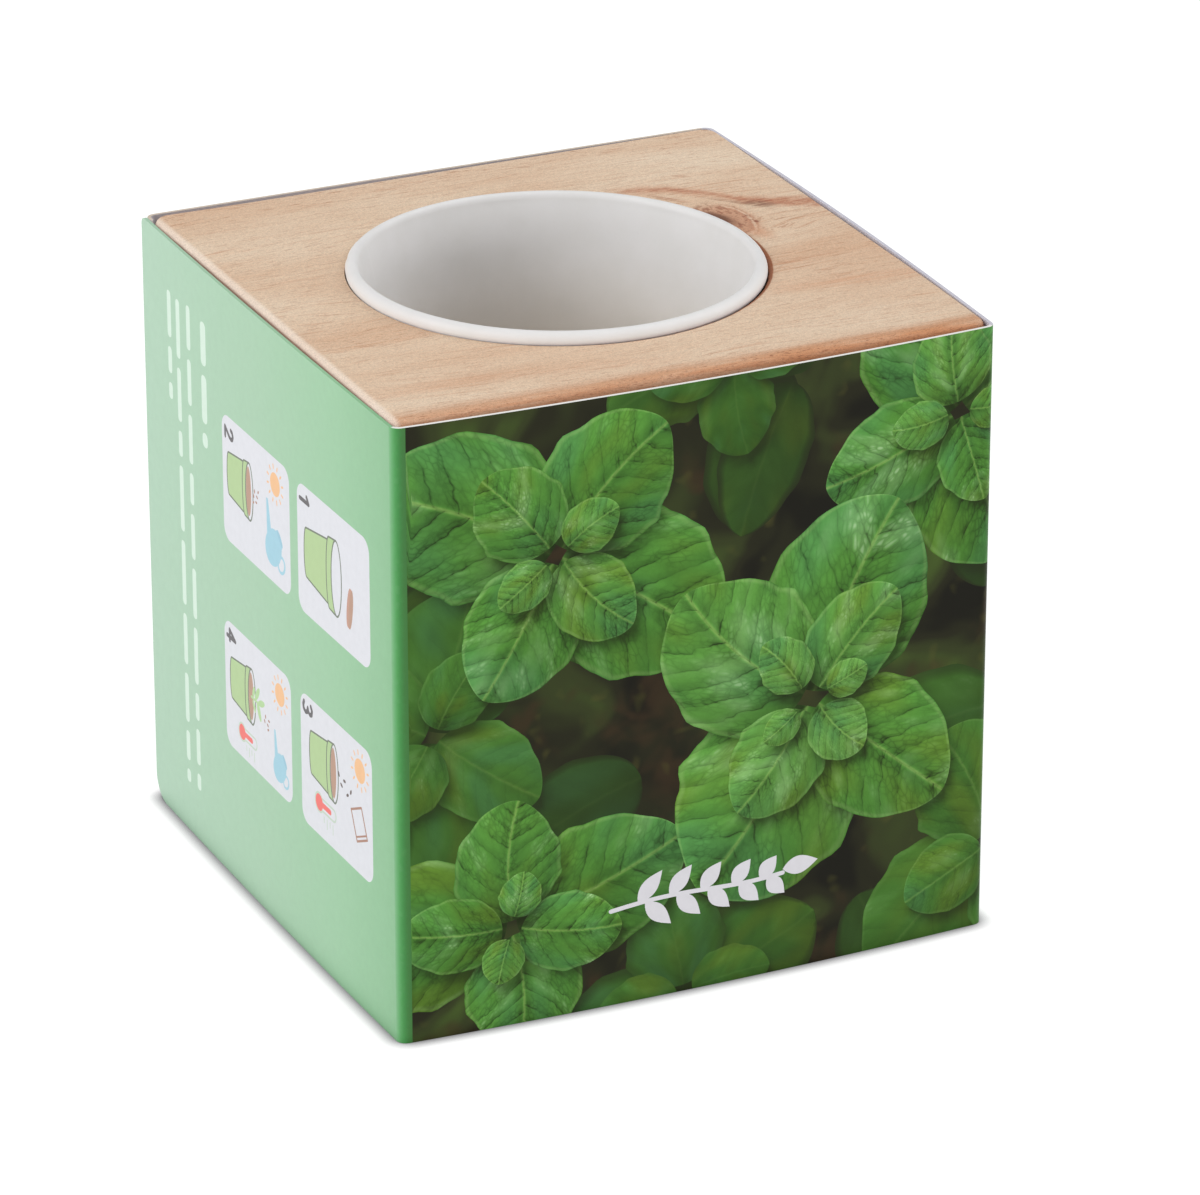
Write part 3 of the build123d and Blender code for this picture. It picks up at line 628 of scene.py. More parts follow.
def floor_paper():
    """White paper sweep, lit through, with the narrow shadow where a thing stands on it."""
    s = Mat("floor_paper")
    p = s.coords()
    a = s.noise(p, 0.02, 2.0, 0.5)
    ao = s.nt.nodes.new("ShaderNodeAmbientOcclusion")
    ao.samples = 16
    ao.inputs["Distance"].default_value = 0.0021
    near = s.step(ao.outputs["AO"], 0.42, 1.0, 0.20, 1.0, smooth=False)
    white = s.ramp(a, [(0.3, (0.26, 0.26, 0.26, 1)), (0.7, (0.27, 0.27, 0.27, 1))])
    s.set(Base_Color=s.mix(1.0, white, s.vec(near, near, near), "MULTIPLY"), Roughness=0.9, Specular_IOR_Level=0.05,
          Emission_Color=s.mix(near, (0.78, 0.77, 0.80, 1.0), (1.0, 1.0, 1.0, 1.0)), Emission_Strength=s.m("MULTIPLY", near, 0.87))
    return s.mat


M_PINE, M_CUP = pine(), cup_paper()
M_INNER = board("card_inner", srgb(214, 200, 184), srgb(202, 188, 171), 0.78)
M_EDGE = board("card_cut_edge", srgb(244, 243, 240), srgb(236, 234, 230), 0.72)
# a darker, cooler copy of the white cut-edge board: painted shade
M_EDGE_PAINTED_SHADE = board("card_cut_edge_painted_shade", srgb(208, 206, 216), srgb(198, 196, 207), 0.72)
M_INK, M_GROUND, M_LEAF = print_ink(), print_ground(), print_leaf()
M_COIR, M_FIBRE, M_KRAFT, M_SEED = coir(), coir_fibre(), kraft(), seed_skin()


# ================================================================ pine block
def outline(hx, hy, rc, per_side=52, per_corner=12):
    """Rounded rectangle, counter-clockwise from the +X side's far end."""
    pts = []
    cs = [(1, 1, 0), (-1, 1, 90), (-1, -1, 180), (1, -1, 270)]
    ends = []
    for sx, sy, a0 in cs:
        c = (sx * (hx - rc), sy * (hy - rc))
        ends.append([(c[0] + rc * math.cos(math.radians(a0 + 90.0 * i / per_corner)),
                      c[1] + rc * math.sin(math.radians(a0 + 90.0 * i / per_corner))) for i in range(per_corner + 1)])
    for k in range(4):
        pts += ends[k]
        a, b = ends[k][-1], ends[(k + 1) % 4][0]
        for i in range(1, per_side):
            t = i / per_side
            pts.append((a[0] + (b[0] - a[0]) * t, a[1] + (b[1] - a[1]) * t))
    return pts


def make_block():
    hx, hy = BLOCK_WX / 2, BLOCK_WY / 2
    ref = outline(hx, hy, BLOCK_CORNER_R)
    ang = [math.atan2(KY + y - BY, KX + x - BX) for x, y in ref]

    def circle(r, z, wob=0.0, seed=1.0):
        out = []
        for a in ang:
            rr = r + wob * (n1(a * 9.0, seed) * 0.5 + n1(a * 31.0, seed + 3) * 0.6 + n1(a * 67.0, seed + 5) * 0.5)
            out.append(((BX + rr * math.cos(a)) * MM, (BY + rr * math.sin(a)) * MM, z * MM))
        return out

    def square(inset, z, wob=0.0, seed=5.0):
        out = []
        for x, y in outline(hx - inset, hy - inset, max(BLOCK_CORNER_R - inset, 0.3)):
            d = wob * (n1(x * 0.13 + y * 0.11, seed) + 0.5 * n1(x * 0.5 - y * 0.45, seed + 2))
            ln = math.hypot(x, y)
            out.append(((KX + x * (1 + d / ln)) * MM, (KY + y * (1 + d / ln)) * MM, z * MM))
        return out

    # top edge: broad at the front, tight at the left and the back, barely broken at the right
    edge0, edge1 = outline(hx, hy, BLOCK_CORNER_R), outline(hx - BLOCK_TOP_R, hy - BLOCK_TOP_R, 0.4)
    round_ = []
    for x, y in edge0:
        w = [(max(0.0, d)) ** 6 + 1e-6 for d in (x / hx, -x / hx, y / hy, -y / hy)]
        round_.append(sum(a * b for a, b in zip(w, (0.25, 0.66, 0.95 - 0.55 * x / hx, BLOCK_TOP_R))) / sum(w))

    def top_edge(f):
        out = []
        for (x0, y0), (x1, y1), rr in zip(edge0, edge1, round_):
            t = rr * (1 - math.cos(f)) / BLOCK_TOP_R
            d = 0.05 * math.sin(2 * f) * (n1(x0 * 0.13 + y0 * 0.11, 5.0) + 0.5 * n1(x0 * 0.5 - y0 * 0.45, 7.0))
            k = 1 + d / math.hypot(x0, y0)
            out.append(((KX + (x0 + (x1 - x0) * t) * k) * MM, (KY + (y0 + (y1 - y0) * t) * k) * MM, (BLOCK_H - rr * (1 - math.sin(f))) * MM))
        return out

    zt, rings = BLOCK_H, []
    rings.append(circle(SPUR_R, FLOOR_Z))
    for r in (6, 13, 20, 25.2, BORE_R):
        rings.append(circle(r, FLOOR_Z))
    for z in (FLOOR_Z + 0.4, 38, 46, 54, 62, 70, 76, 79, zt - 0.9):
        rings.append(circle(BORE_R, z))
    # the bore's mouth: worn round and torn on the right, crisp on the left
    wear = [0.5 + 0.5 * math.cos(a + 0.35) for a in ang]
    for i in range(8):
        f = math.radians(90.0 * i / 7)
        ring = []
        for a, w in zip(ang, wear):
            m, lip, drop = 0.04 + 0.26 * w ** 1.5, 0.46 * w ** 2.0, 0.05 + 0.46 * w ** 1.5
            fuzz = (0.02 + 0.17 * w ** 2) * (1 - 0.70 * math.sin(f)) * (n1(a * 9.0, 2) * 0.5 + n1(a * 31.0, 5) * 0.6 + n1(a * 67.0, 7) * 0.7)
            rr = BORE_R - lip + (lip + m) * (1 - math.cos(f)) + 0.02 + fuzz
            ring.append(((BX + rr * math.cos(a)) * MM, (BY + rr * math.sin(a)) * MM, (zt - drop * (1 - math.sin(f))) * MM))
        rings.append(ring)
    inner, outer = circle(BORE_R + 0.70, zt, 0.02, 2), top_edge(math.radians(90))
    rings.append(inner)
    for t in (0.12, 0.28, 0.46, 0.64, 0.82, 0.94):
        rings.append([tuple(a + (b - a) * t for a, b in zip(p, q)) for p, q in zip(inner, outer)])
    for i in range(0, 13):
        rings.append(top_edge(math.radians(90 - 7.5 * i)))
    for z in (74, 66, 58, 50, 42, 34, 26, 18, 10, 4):
        rings.append(square(0, z))
    for i in range(0, 6):
        f = math.radians(18 * i)
        rings.append(square(BLOCK_BASE_R * (1 - math.cos(f)), BLOCK_BASE_R * (1 - math.sin(f))))
    for s_ in (0.8, 0.55, 0.3, 0.1):
        rings.append([((KX + (p[0] / MM - KX) * s_) * MM, (KY + (p[1] / MM - KY) * s_) * MM, 0.0) for p in square(BLOCK_BASE_R, 0)])
    verts, faces = ring_mesh(rings, first=(BX * MM, BY * MM, (FLOOR_Z - SPUR_DEPTH) * MM), last=(KX * MM, KY * MM, 0.0))
    ob = new_object("pine_block", verts, [tuple(reversed(f)) for f in faces], [M_PINE])
    sharp_by_angle(ob, 50)
    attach(ob, "block")
    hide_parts("wood_block")
    return ob


# ================================================================= paper cup
TA = math.radians(CUP_TAPER)
ROLL_Z = CUP_H - CUP_ROLL_R
T_IN = (CUP_RIM_R - CUP_ROLL_R * math.cos(TA), ROLL_Z + CUP_ROLL_R * math.sin(TA))


def wall_r(z, inset=0.0):
    return T_IN[0] + (z - T_IN[1]) * math.tan(TA) - inset / math.cos(TA)


def cup_angles():
    """Even steps round the cup, with extra ones at the seam's two edges."""
    c, w = math.radians(SEAM_DEG), SEAM_W / 2 / wall_r(CUP_H / 2)
    a = [2 * math.pi * i / 224 for i in range(224)]
    for edge in (c - w, c + w):
        for k in (-3, -1.6, -0.7, 0, 0.7, 1.6, 3):
            a.append((edge + k * 0.0055) % (2 * math.pi))
    return sorted(set(round(x, 6) for x in a)), c, w


def make_cup_wall():
    ang, sc, sw = cup_angles()
    t = CUP_T

    def lap(a):
        """1 on the seam's lap, falling fast at its two edges."""
        d = (a - sc + math.pi) % (2 * math.pi) - math.pi
        k = lambda v: max(0.0, min(1.0, v))
        up = k((d + sw) / 0.010 + 0.5)
        dn = k((sw - d) / 0.010 + 0.5)
        return up * dn, d

    def flare(z):
        """The wall leans out a little more as it nears the roll."""
        return 0.46 * max(0.0, (z - 43.5) / (T_IN[1] - 43.5)) ** 2

    prof = []       # (radius, z, kind)
    for z in (0.0, 0.25, 0.9, 2.5, 5, 8, 12, 17, 23, 29, 35, 41, 45, 47.4):
        prof.append((wall_r(z, -t) + flare(z), z, "out"))
    start = 180.0 - CUP_TAPER
    for i in range(27):
        d = math.radians(start + (ROLL_END_DEG - start) * i / 26)
        k = 1.0 + 0.46 / CUP_ROLL_R * min(0.0, math.cos(d)) / abs(math.cos(d) or 1.0)
        prof.append((CUP_RIM_R + (CUP_ROLL_R - t) * math.cos(d) * k, ROLL_Z + (CUP_ROLL_R - t) * math.sin(d), "rin"))
    for i in range(41):
        d = math.radians(ROLL_END_DEG + (start - ROLL_END_DEG) * i / 40)
        k = 1.0 + 0.46 / CUP_ROLL_R * min(0.0, math.cos(d)) / abs(math.cos(d) or 1.0)
        prof.append((CUP_RIM_R + CUP_ROLL_R * math.cos(d) * k, ROLL_Z + CUP_ROLL_R * math.sin(d), "rout"))
    for z in (49.5, 49.0, 48.4, 47.7, 46.9, 46.0, 45.0, 44.0, 42, 39, 34, 28, 22, 16, 11, 7.4, 6.4, 4, t):
        prof.append((wall_r(z) + flare(z), z, "in"))
    prof.append((wall_r(t, BASE_T), t, "lip"))
    for z in (2.5, HEEL_LIP_H):
        prof.append((wall_r(z, BASE_T), z, "lip"))
    for z in (HEEL_LIP_H, 2.5, 0.15, 0.0):
        prof.append((wall_r(z, BASE_T + t), z, "lip"))
    rings = []
    for r, z, kind in prof:
        ring = []
        for a in ang:
            l, d = lap(a)
            rr, zz = r, z
            if kind == "out" and 0.6 < z < 47:
                rr += t * l
            elif kind == "in" and z > 7:
                # the inner ply ends in a fine step along one edge of the lap
                rr -= 0.10 * max(0.0, min(1.0, (d + sw) / 0.010 + 0.5)) * math.exp(-max(0.0, d + sw) / 0.10)
            elif kind == "rout":
                dr, dz = r - CUP_RIM_R, z - ROLL_Z
                # a small dent where the lap's end runs into the roll
                dent = math.exp(-((d - sw * 0.2) / 0.030) ** 2)
                f = 1.0 + 0.035 * l + 0.012 * n1(a * 5.0, 4.0) - 0.10 * dent
                rr, zz = CUP_RIM_R + dr * f, ROLL_Z + dz * f
            if kind in ("in", "out", "rout"):
                rr += 0.02 * n1(a * 1.6, 8.0) * min(1.0, z / 30.0)
            if z > 0.5:
                zz += 0.03 * n1(a * 2.0, 6.0) * (1.0 if kind in ("rout", "rin") else 0.0)
            zz = min(zz, CUP_H + 0.12)
            # pushed in a little askew: its front-left rim stands a hair higher
            kz = min(1.0, max(0.0, z / CUP_H))
            zz += 0.42 * kz ** 4 * (0.5 + 0.5 * math.cos(a - math.radians(205.0)))
            ring.append(((CX - 0.08 * kz ** 2 + rr * math.cos(a)) * MM, (CY + rr * math.sin(a)) * MM, (FLOOR_Z + zz) * MM))
        rings.append(ring)
    verts, faces = ring_mesh(rings, closed=True)
    ob = new_object("cup_wall", verts, faces, [M_CUP])
    sharp_by_angle(ob, 48)
    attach(ob, "cup")
    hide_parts("cup_sidewall")
    return ob


def make_cup_base():
    t, b, rc = CUP_T, BASE_T, 0.55
    n = 192
    prof = []
    for r in (2, 6, 10, 13.2):
        prof.append((r, BASE_Z - 0.10))
    for r, dz in ((13.8, -0.16), (14.4, -0.26), (15.0, -0.16), (15.6, -0.06)):
        prof.append((r, BASE_Z + dz))       # pressed ring
    re = wall_r(BASE_Z)
    for i in range(7):
        a = math.radians(90 - 15 * i)
        prof.append((re - rc + rc * math.cos(a) - 0.02, BASE_Z - rc + rc * math.sin(a)))
    for z in (4.5, 2.5, t + 0.02):
        prof.append((wall_r(z) - 0.02, z))
    for z in (t + 0.02, 2.5, 4.5, BASE_Z - b - 0.3):
        prof.append((wall_r(z, b) + 0.02, z))
    for r, dz in ((17.2, 0.0), (15.6, -0.06), (15.0, -0.16), (14.4, -0.26), (13.8, -0.16), (13.2, -0.10), (10, -0.10), (6, -0.10), (2, -0.10)):
        prof.append((r, BASE_Z - b + dz))
    rings = [[((CX + r * math.cos(2 * math.pi * k / n)) * MM, (CY + r * math.sin(2 * math.pi * k / n)) * MM, (FLOOR_Z + z) * MM)
              for k in range(n)] for r, z in prof]
    verts, faces = ring_mesh(rings, first=(CX * MM, CY * MM, (FLOOR_Z + BASE_Z - 0.10) * MM),
                             last=(CX * MM, CY * MM, (FLOOR_Z + BASE_Z - b - 0.10) * MM))
    ob = new_object("cup_bottom", verts, [tuple(reversed(f)) for f in faces], [M_CUP])
    sharp_by_angle(ob, 60)
    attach(ob, "cup")
    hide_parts("cup_base")
    return ob


# ============================================================ card sleeve
class Arc:
    def __init__(self, p1, p2, p3):
        (x1, y1), (x2, y2), (x3, y3) = p1, p2, p3
        d = 2 * (x1 * (y2 - y3) + x2 * (y3 - y1) + x3 * (y1 - y2))
        s1, s2, s3 = x1 * x1 + y1 * y1, x2 * x2 + y2 * y2, x3 * x3 + y3 * y3
        self.c = ((s1 * (y2 - y3) + s2 * (y3 - y1) + s3 * (y1 - y2)) / d, (s1 * (x3 - x2) + s2 * (x1 - x3) + s3 * (x2 - x1)) / d)
        self.r = math.hypot(x1 - self.c[0], y1 - self.c[1])
        self.a0 = math.atan2(y1 - self.c[1], x1 - self.c[0])
        a1 = math.atan2(y3 - self.c[1], x3 - self.c[0])
        self.da = (a1 - self.a0) % (2 * math.pi)
        self.len = self.r * self.da


def sleeve_path():
    hw, t, r = SLEEVE_W / 2, CARD_T, FOLD_R
    ye, yf, y0 = hw - LEFT_END_GAP, hw - FLAP_L, -hw + r

    def on(c, deg):
        return (c[0] + r * math.cos(math.radians(deg)), c[1] + r * math.sin(math.radians(deg)))

    left = Arc((-hw, ye), (-hw - BOW_LEFT, (ye + y0) / 2), (-hw, y0))

    def left_x(y, inset):
        return left.c[0] - math.sqrt((left.r - inset) ** 2 - (y - left.c[1]) ** 2)

    tf = t + 0.015      # the flap lies on a film of glue
    fl, fr, br, bl = (-hw + r, -hw + r), (hw - r, -hw + r), (hw - r, hw - r), (-hw + tf + r, hw - r)
    ym = (yf + hw - r) / 2
    secs = [
        ("left", left),
        ("fold_fl", Arc((-hw, y0), on(fl, 225), (-hw + r, -hw))),
        ("front", Arc((-hw + r, -hw), (0, -hw - BOW_FRONT), (hw - r, -hw))),
        ("fold_fr", Arc((hw - r, -hw), on(fr, 315), (hw, -hw + r))),
        ("right", Arc((hw, -hw + r), (hw + BOW_RIGHT, 0), (hw, hw - r))),
        ("fold_br", Arc((hw, hw - r), on(br, 45), (hw - r, hw))),
        ("back", Arc((hw - r, hw), (0, hw + BOW_BACK), (-hw + tf + r, hw))),
        ("fold_bl", Arc((-hw + tf + r, hw), on(bl, 135), (-hw + tf, hw - r))),
        ("flap", Arc((-hw + tf, hw - r), (left_x(ym, tf), ym), (left_x(yf, tf), yf))),
    ]
    start, u = {}, 0.0
    for name, a in secs:
        start[name] = u
        u += a.len
    return secs, start, u


SECS, U0, U_END = sleeve_path()
U_BREAKS = np.array([U0[n] for n, _ in SECS] + [U_END])


def strip_to_plan(u):
    """Plan position and outward normal of the card's printed face at strip lengths u."""
    u = np.asarray(u, float)
    k = np.clip(np.searchsorted(U_BREAKS, u, side="right") - 1, 0, len(SECS) - 1)
    px, py, nx, ny = (np.zeros_like(u) for _ in range(4))
    for i, (name, a) in enumerate(SECS):
        m = k == i
        if not m.any():
            continue
        th = a.a0 + a.da * (u[m] - U_BREAKS[i]) / a.len
        nx[m], ny[m] = np.cos(th), np.sin(th)
        px[m], py[m] = a.c[0] + a.r * nx[m], a.c[1] + a.r * ny[m]
    # one shared normal where a panel meets a fold
    for i in range(1, len(SECS)):
        m = np.abs(u - U_BREAKS[i]) < 1e-6
        if m.any():
            a, b = SECS[i - 1][1], SECS[i][1]
            t1, t2 = a.a0 + a.da, b.a0
            vx, vy = math.cos(t1) + math.cos(t2), math.sin(t1) + math.sin(t2)
            ln = math.hypot(vx, vy)
            nx[m], ny[m] = vx / ln, vy / ln
    return px + SX, py + SY, nx, ny


# ------------------------------------------------------------ printed shapes
PRINTS = []         # later ones lie on top: dict(poly, kind, colour or leaf)


def flat(poly, colour):
    PRINTS.append({"poly": poly, "kind": "ink", "colour": colour})


def clip_rect(poly, x0, x1, y0, y1):
    def cut(pts, inside, meet):
        out = []
        for i, p in enumerate(pts):
            q = pts[i - 1]
            if inside(p):
                if not inside(q):
                    out.append(meet(q, p))
                out.append(p)
            elif inside(q):
                out.append(meet(q, p))
        return out

    def at_x(x):
        return lambda a, b: (x, a[1] + (b[1] - a[1]) * (x - a[0]) / (b[0] - a[0]))

    def at_y(y):
        return lambda a, b: (a[0] + (b[0] - a[0]) * (y - a[1]) / (b[1] - a[1]), y)

    for inside, meet in ((lambda p: p[0] >= x0, at_x(x0)), (lambda p: p[0] <= x1, at_x(x1)),
                         (lambda p: p[1] >= y0, at_y(y0)), (lambda p: p[1] <= y1, at_y(y1))):
        if poly:
            poly = cut(poly, inside, meet)
    return poly


def ellipse(cx, cy, rx, ry, n=28, turn=0.0):
    c, s = math.cos(turn), math.sin(turn)
    out = []
    for i in range(n):
        x, y = rx * math.cos(2 * math.pi * i / n), ry * math.sin(2 * math.pi * i / n)
        out.append((cx + x * c - y * s, cy + x * s + y * c))
    return out


def rounded(x0, y0, x1, y1, r, n=7):
    out = []
    for cx, cy, a0 in ((x1 - r, y1 - r, 0), (x0 + r, y1 - r, 90), (x0 + r, y0 + r, 180), (x1 - r, y0 + r, 270)):
        for i in range(n + 1):
            a = math.radians(a0 + 90 * i / n)
            out.append((cx + r * math.cos(a), cy + r * math.sin(a)))
    return out


def stroke(pts, w, closed=False):
    """Thick line as one quad per run, with a round dot at each point."""
    out = []
    seq = list(zip(pts, pts[1:] + pts[:1])) if closed else list(zip(pts[:-1], pts[1:]))
    for (x0, y0), (x1, y1) in seq:
        ln = math.hypot(x1 - x0, y1 - y0)
        if ln < 1e-6:
            continue
        nx, ny = -(y1 - y0) / ln * w / 2, (x1 - x0) / ln * w / 2
        out.append([(x0 + nx, y0 + ny), (x0 - nx, y0 - ny), (x1 - nx, y1 - ny), (x1 + nx, y1 + ny)])
    for x, y in pts:
        out.append(ellipse(x, y, w / 2, w / 2, 10))
    return out


# ---- instruction panel: its drawings lie on their side, tops to the front fold
GREEN = srgb(138, 194, 145)
WHITE = srgb(213, 214, 220)
INKC = {
    "line": srgb(92, 104, 84), "pot": srgb(166, 195, 134), "pot2": srgb(155, 188, 114), "soil": srgb(174, 133, 109),
    "sun": srgb(233, 180, 126), "blue": srgb(148, 196, 213), "blue2": srgb(138, 187, 206), "digit": srgb(70, 66, 70),
    "tablet": srgb(185, 137, 115), "red": srgb(232, 92, 84), "glass": srgb(186, 202, 184), "seed": srgb(78, 58, 50),
    "sprout": srgb(168, 204, 142), "packet": srgb(160, 112, 88), "bar": srgb(204, 226, 209), "white": WHITE,
}


def card(a0, z_top, width, height):
    """Returns a placer for one instruction card: card x runs down the panel, card y towards the fold."""
    def place(poly):
        return [(a0 - LEFT_END_GAP + y, z_top - x) for x, y in poly]

    flat(place(rounded(0, 0, width, height, 1.9)), WHITE)

    def draw(polys, name):
        for p in (polys if isinstance(polys[0], list) else [polys]):
            flat(place(p), INKC[name])
    return draw


def turned(polys, cx, cy, ang):
    c, s = math.cos(ang), math.sin(ang)
    return [[(cx + x * c - y * s, cy + x * s + y * c) for x, y in p] for p in polys]


def draw_digit(draw, n, x, y, s):
    w = 0.44 * s
    shapes = {
        1: [[(0.15, 1.55), (0.72, 2.0), (0.72, 0.0)]],
        2: [[(0.0, 1.50), (0.12, 1.84), (0.5, 2.0), (0.88, 1.84), (0.98, 1.48), (0.8, 1.08), (0.0, 0.05), (1.05, 0.05)]],
        3: [[(0.0, 1.75), (0.35, 2.0), (0.8, 1.9), (0.95, 1.52), (0.75, 1.15), (0.4, 1.05)],
            [(0.4, 1.05), (0.85, 0.92), (1.02, 0.5), (0.8, 0.1), (0.4, 0.0), (0.0, 0.2)]],
        4: [[(0.78, 0.0), (0.78, 2.0), (0.0, 0.62), (1.15, 0.62)]],
    }
    for run in shapes[n]:
        draw(stroke([(x + s * px * 0.95, y + s * py) for px, py in run], w), "digit")


def draw_pot(draw, cx, y, height, mouth, base, soil):
    """Flower pot from the side: tapered body, band under a wide mouth seen a little from above."""
    band = 0.24 * height
    yb = y + height - band
    b, m = base / 2, mouth / 2
    k = b + (m - b) * 0.62
    body = [(cx - b, y), (cx + b, y), (cx + k, yb + 0.2), (cx - k, yb + 0.2)]
    lip = [(cx - m * 0.95, yb), (cx + m * 0.95, yb), (cx + m, y + height), (cx - m, y + height)]
    foot = ellipse(cx, y, b, 0.10 * base, 24)
    draw(foot, "pot")
    draw(stroke(foot, 0.24, True), "line")
    draw(body, "pot")
    draw(stroke([body[3], body[0]], 0.24), "line")
    draw(stroke([body[1], body[2]], 0.24), "line")
    under = ellipse(cx, yb, m * 0.95, 0.085 * mouth, 24)
    draw(under, "pot")
    draw(stroke(under[12:] + under[:1], 0.24), "line")
    draw(lip, "pot")
    draw(stroke([lip[3], lip[0]], 0.24), "line")
    draw(stroke([lip[1], lip[2]], 0.24), "line")
    top = ellipse(cx, y + height, m, 0.155 * mouth)
    draw(top, "white")
    if soil:
        draw(ellipse(cx, y + height - 0.03 * mouth, m * 0.86, 0.105 * mouth), "soil")
    draw(stroke(top, 0.26, True), "line")


def draw_sun(draw, cx, cy, r):
    draw(ellipse(cx, cy, r * 0.72, r * 0.72), "sun")
    for i in range(12):
        a = 2 * math.pi * i / 12 + 0.2
        draw(stroke([(cx + 0.98 * r * math.cos(a), cy + 0.98 * r * math.sin(a)), (cx + 1.18 * r * math.cos(a), cy + 1.18 * r * math.sin(a))], 0.30), "sun")


def draw_can(draw, cx, cy, k, ang=0.75):
    """Watering can tipped towards its spout."""
    body = ellipse(0.0, -0.2, 2.0, 2.45, 28)
    neck = [(-1.25, 1.1), (1.25, 1.1), (1.05, 2.25), (-1.05, 2.25)]
    ring = ellipse(2.35, 0.5, 0.85, 1.0, 20)
    spout = [(-1.5, -1.1), (-1.2, 0.3), (-4.6, 2.35), (-4.95, 2.0)]
    up = lambda p: [(x * k, y * k) for x, y in p]
    draw(turned(stroke(up(ring), 0.36 * k, True), cx, cy, ang), "blue")
    draw(turned([up(spout)], cx, cy, ang), "blue")
    draw(turned([up(body)], cx, cy, ang), "blue")
    draw(turned([up(neck)], cx, cy, ang), "blue")
    draw(turned([up(ellipse(0.0, 2.25, 1.05, 0.34))], cx, cy, ang), "blue2")


def draw_spray(draw, pts):
    for i, (x, y) in enumerate(pts):
        draw(ellipse(x, y, 0.30, 0.17, 10, 0.5 * i), "packet")


def draw_gauge(draw, cx, y, k):
    draw(rounded(cx - 0.85 * k, y + 0.6 * k, cx + 0.85 * k, y + 5.6 * k, 0.84 * k), "glass")
    draw(ellipse(cx, y + 0.9 * k, 1.25 * k, 1.25 * k), "glass")
    draw(rounded(cx - 0.60 * k, y + 0.8 * k, cx + 0.60 * k, y + 5.35 * k, 0.58 * k), "white")
    draw(ellipse(cx, y + 0.9 * k, 1.0 * k, 1.0 * k), "red")
    draw(rounded(cx - 0.34 * k, y + 0.9 * k, cx + 0.34 * k, y + 4.2 * k, 0.33 * k), "red")
    for i in range(4):
        draw(stroke([(cx + 1.3 * k, y + (2.2 + 0.8 * i) * k), (cx + (1.9 + 0.5 * (i % 2)) * k, y + (2.2 + 0.8 * i) * k)], 0.20), "glass")


def instruction_panel():
    u1 = U0["front"] + 0.35
    flat([(0, 0), (u1, 0), (u1, SLEEVE_H), (0, SLEEVE_H)], GREEN)
    # its green is painted paler towards the back (painted sheen) and darker at the front fold (painted shade)
    PRINTS[-1]["fade"] = True
    h = 21.6
    d = card(50.7, 63.3, 16.85, h)
    draw_digit(d, 1, 1.1, 0.9, 1.35)
    draw_pot(d, 8.6, 2.6, 9.1, 9.9, 6.5, False)
    d(turned([ellipse(0, -0.35, 2.7, 0.60, 26), [(-2.7, -0.35), (2.7, -0.35), (2.7, 0.25), (-2.7, 0.25)]], 11.0, 15.7, -0.16), "tablet")
    d(turned([ellipse(0, 0.25, 2.7, 0.60, 26)], 11.0, 15.7, -0.16), "soil")
    d = card(26.7, 63.5, 16.85, h)
    draw_digit(d, 2, 1.6, 1.0, 1.30)
    draw_pot(d, 7.6, 2.0, 6.7, 7.7, 5.7, True)
    draw_sun(d, 3.5, 17.1, 2.15)
    draw_spray(d, ((6.9, 10.4), (7.6, 10.1), (7.4, 11.2), (8.2, 10.9), (8.5, 10.0), (6.6, 11.6)))
    draw_can(d, 12.0, 16.4, 1.16)
    d = card(50.6, 35.5, 17.5, h)
    draw_digit(d, 3, 1.1, 0.9, 1.35)
    draw_pot(d, 7.2, 3.2, 7.0, 7.9, 5.8, True)
    draw_sun(d, 3.6, 18.0, 2.2)
    draw_gauge(d, 13.0, 4.4, 1.12)
    for i, (x, y) in enumerate(((6.6, 11.6), (7.8, 12.4), (6.9, 13.3), (8.4, 14.2), (7.6, 15.2))):
        d(ellipse(x, y, 0.42, 0.22, 10, 0.6 + 0.5 * i), "seed")
    pk = turned([[(-2.0, -1.7), (2.0, -1.7), (2.0, 1.7), (-2.0, 1.7)]], 10.9, 17.6, 0.43)[0]
    d(pk, "white")
    d(stroke(pk, 0.30, True), "packet")
    d(turned(stroke([(1.45, -1.7), (1.45, 1.7)], 0.24), 10.9, 17.6, 0.43), "packet")
    d = card(26.0, 35.5, 17.2, h)
    draw_digit(d, 4, 1.1, 0.9, 1.35)
    draw_pot(d, 7.5, 2.2, 6.6, 7.6, 5.6, True)
    d(stroke([(7.5, 8.6), (7.55, 10.7)], 0.36), "sprout")
    for x, y, ln, wd, a in ((6.4, 10.6, 1.25, 0.46, 2.5), (8.6, 11.1, 1.3, 0.50, 0.45), (7.2, 11.9, 1.15, 0.45, 1.9), (6.6, 9.4, 0.85, 0.35, 2.8), (8.5, 9.5, 0.85, 0.35, 0.5)):
        d(ellipse(x, y, ln, wd, 20, a), "sprout")
    draw_sun(d, 3.5, 18.0, 2.1)
    draw_spray(d, ((8.4, 13.2), (9.1, 12.9), (9.3, 13.9), (8.6, 14.3), (9.9, 14.0)))
    draw_can(d, 13.5, 17.7, 0.92)
    draw_gauge(d, 13.7, 4.4, 1.05)
    # rows of plain dashes
    rng = random.Random(11)
    for a, z0, z1, t in ((20.0, 73.2, 56.4, 1.75), (15.2, 73.6, 7.2, 1.30), (11.6, 73.2, 6.9, 1.30), (8.6, 73.4, 58.8, 1.30)):
        z = z0
        while z > z1 + 1.5:
            ln = min(rng.uniform(3.2, 9.0), z - z1)
            u = a - LEFT_END_GAP
            flat(rounded(u, z - ln, u + t, z, t * 0.40, 3), INKC["bar"])
            z -= ln + 1.3
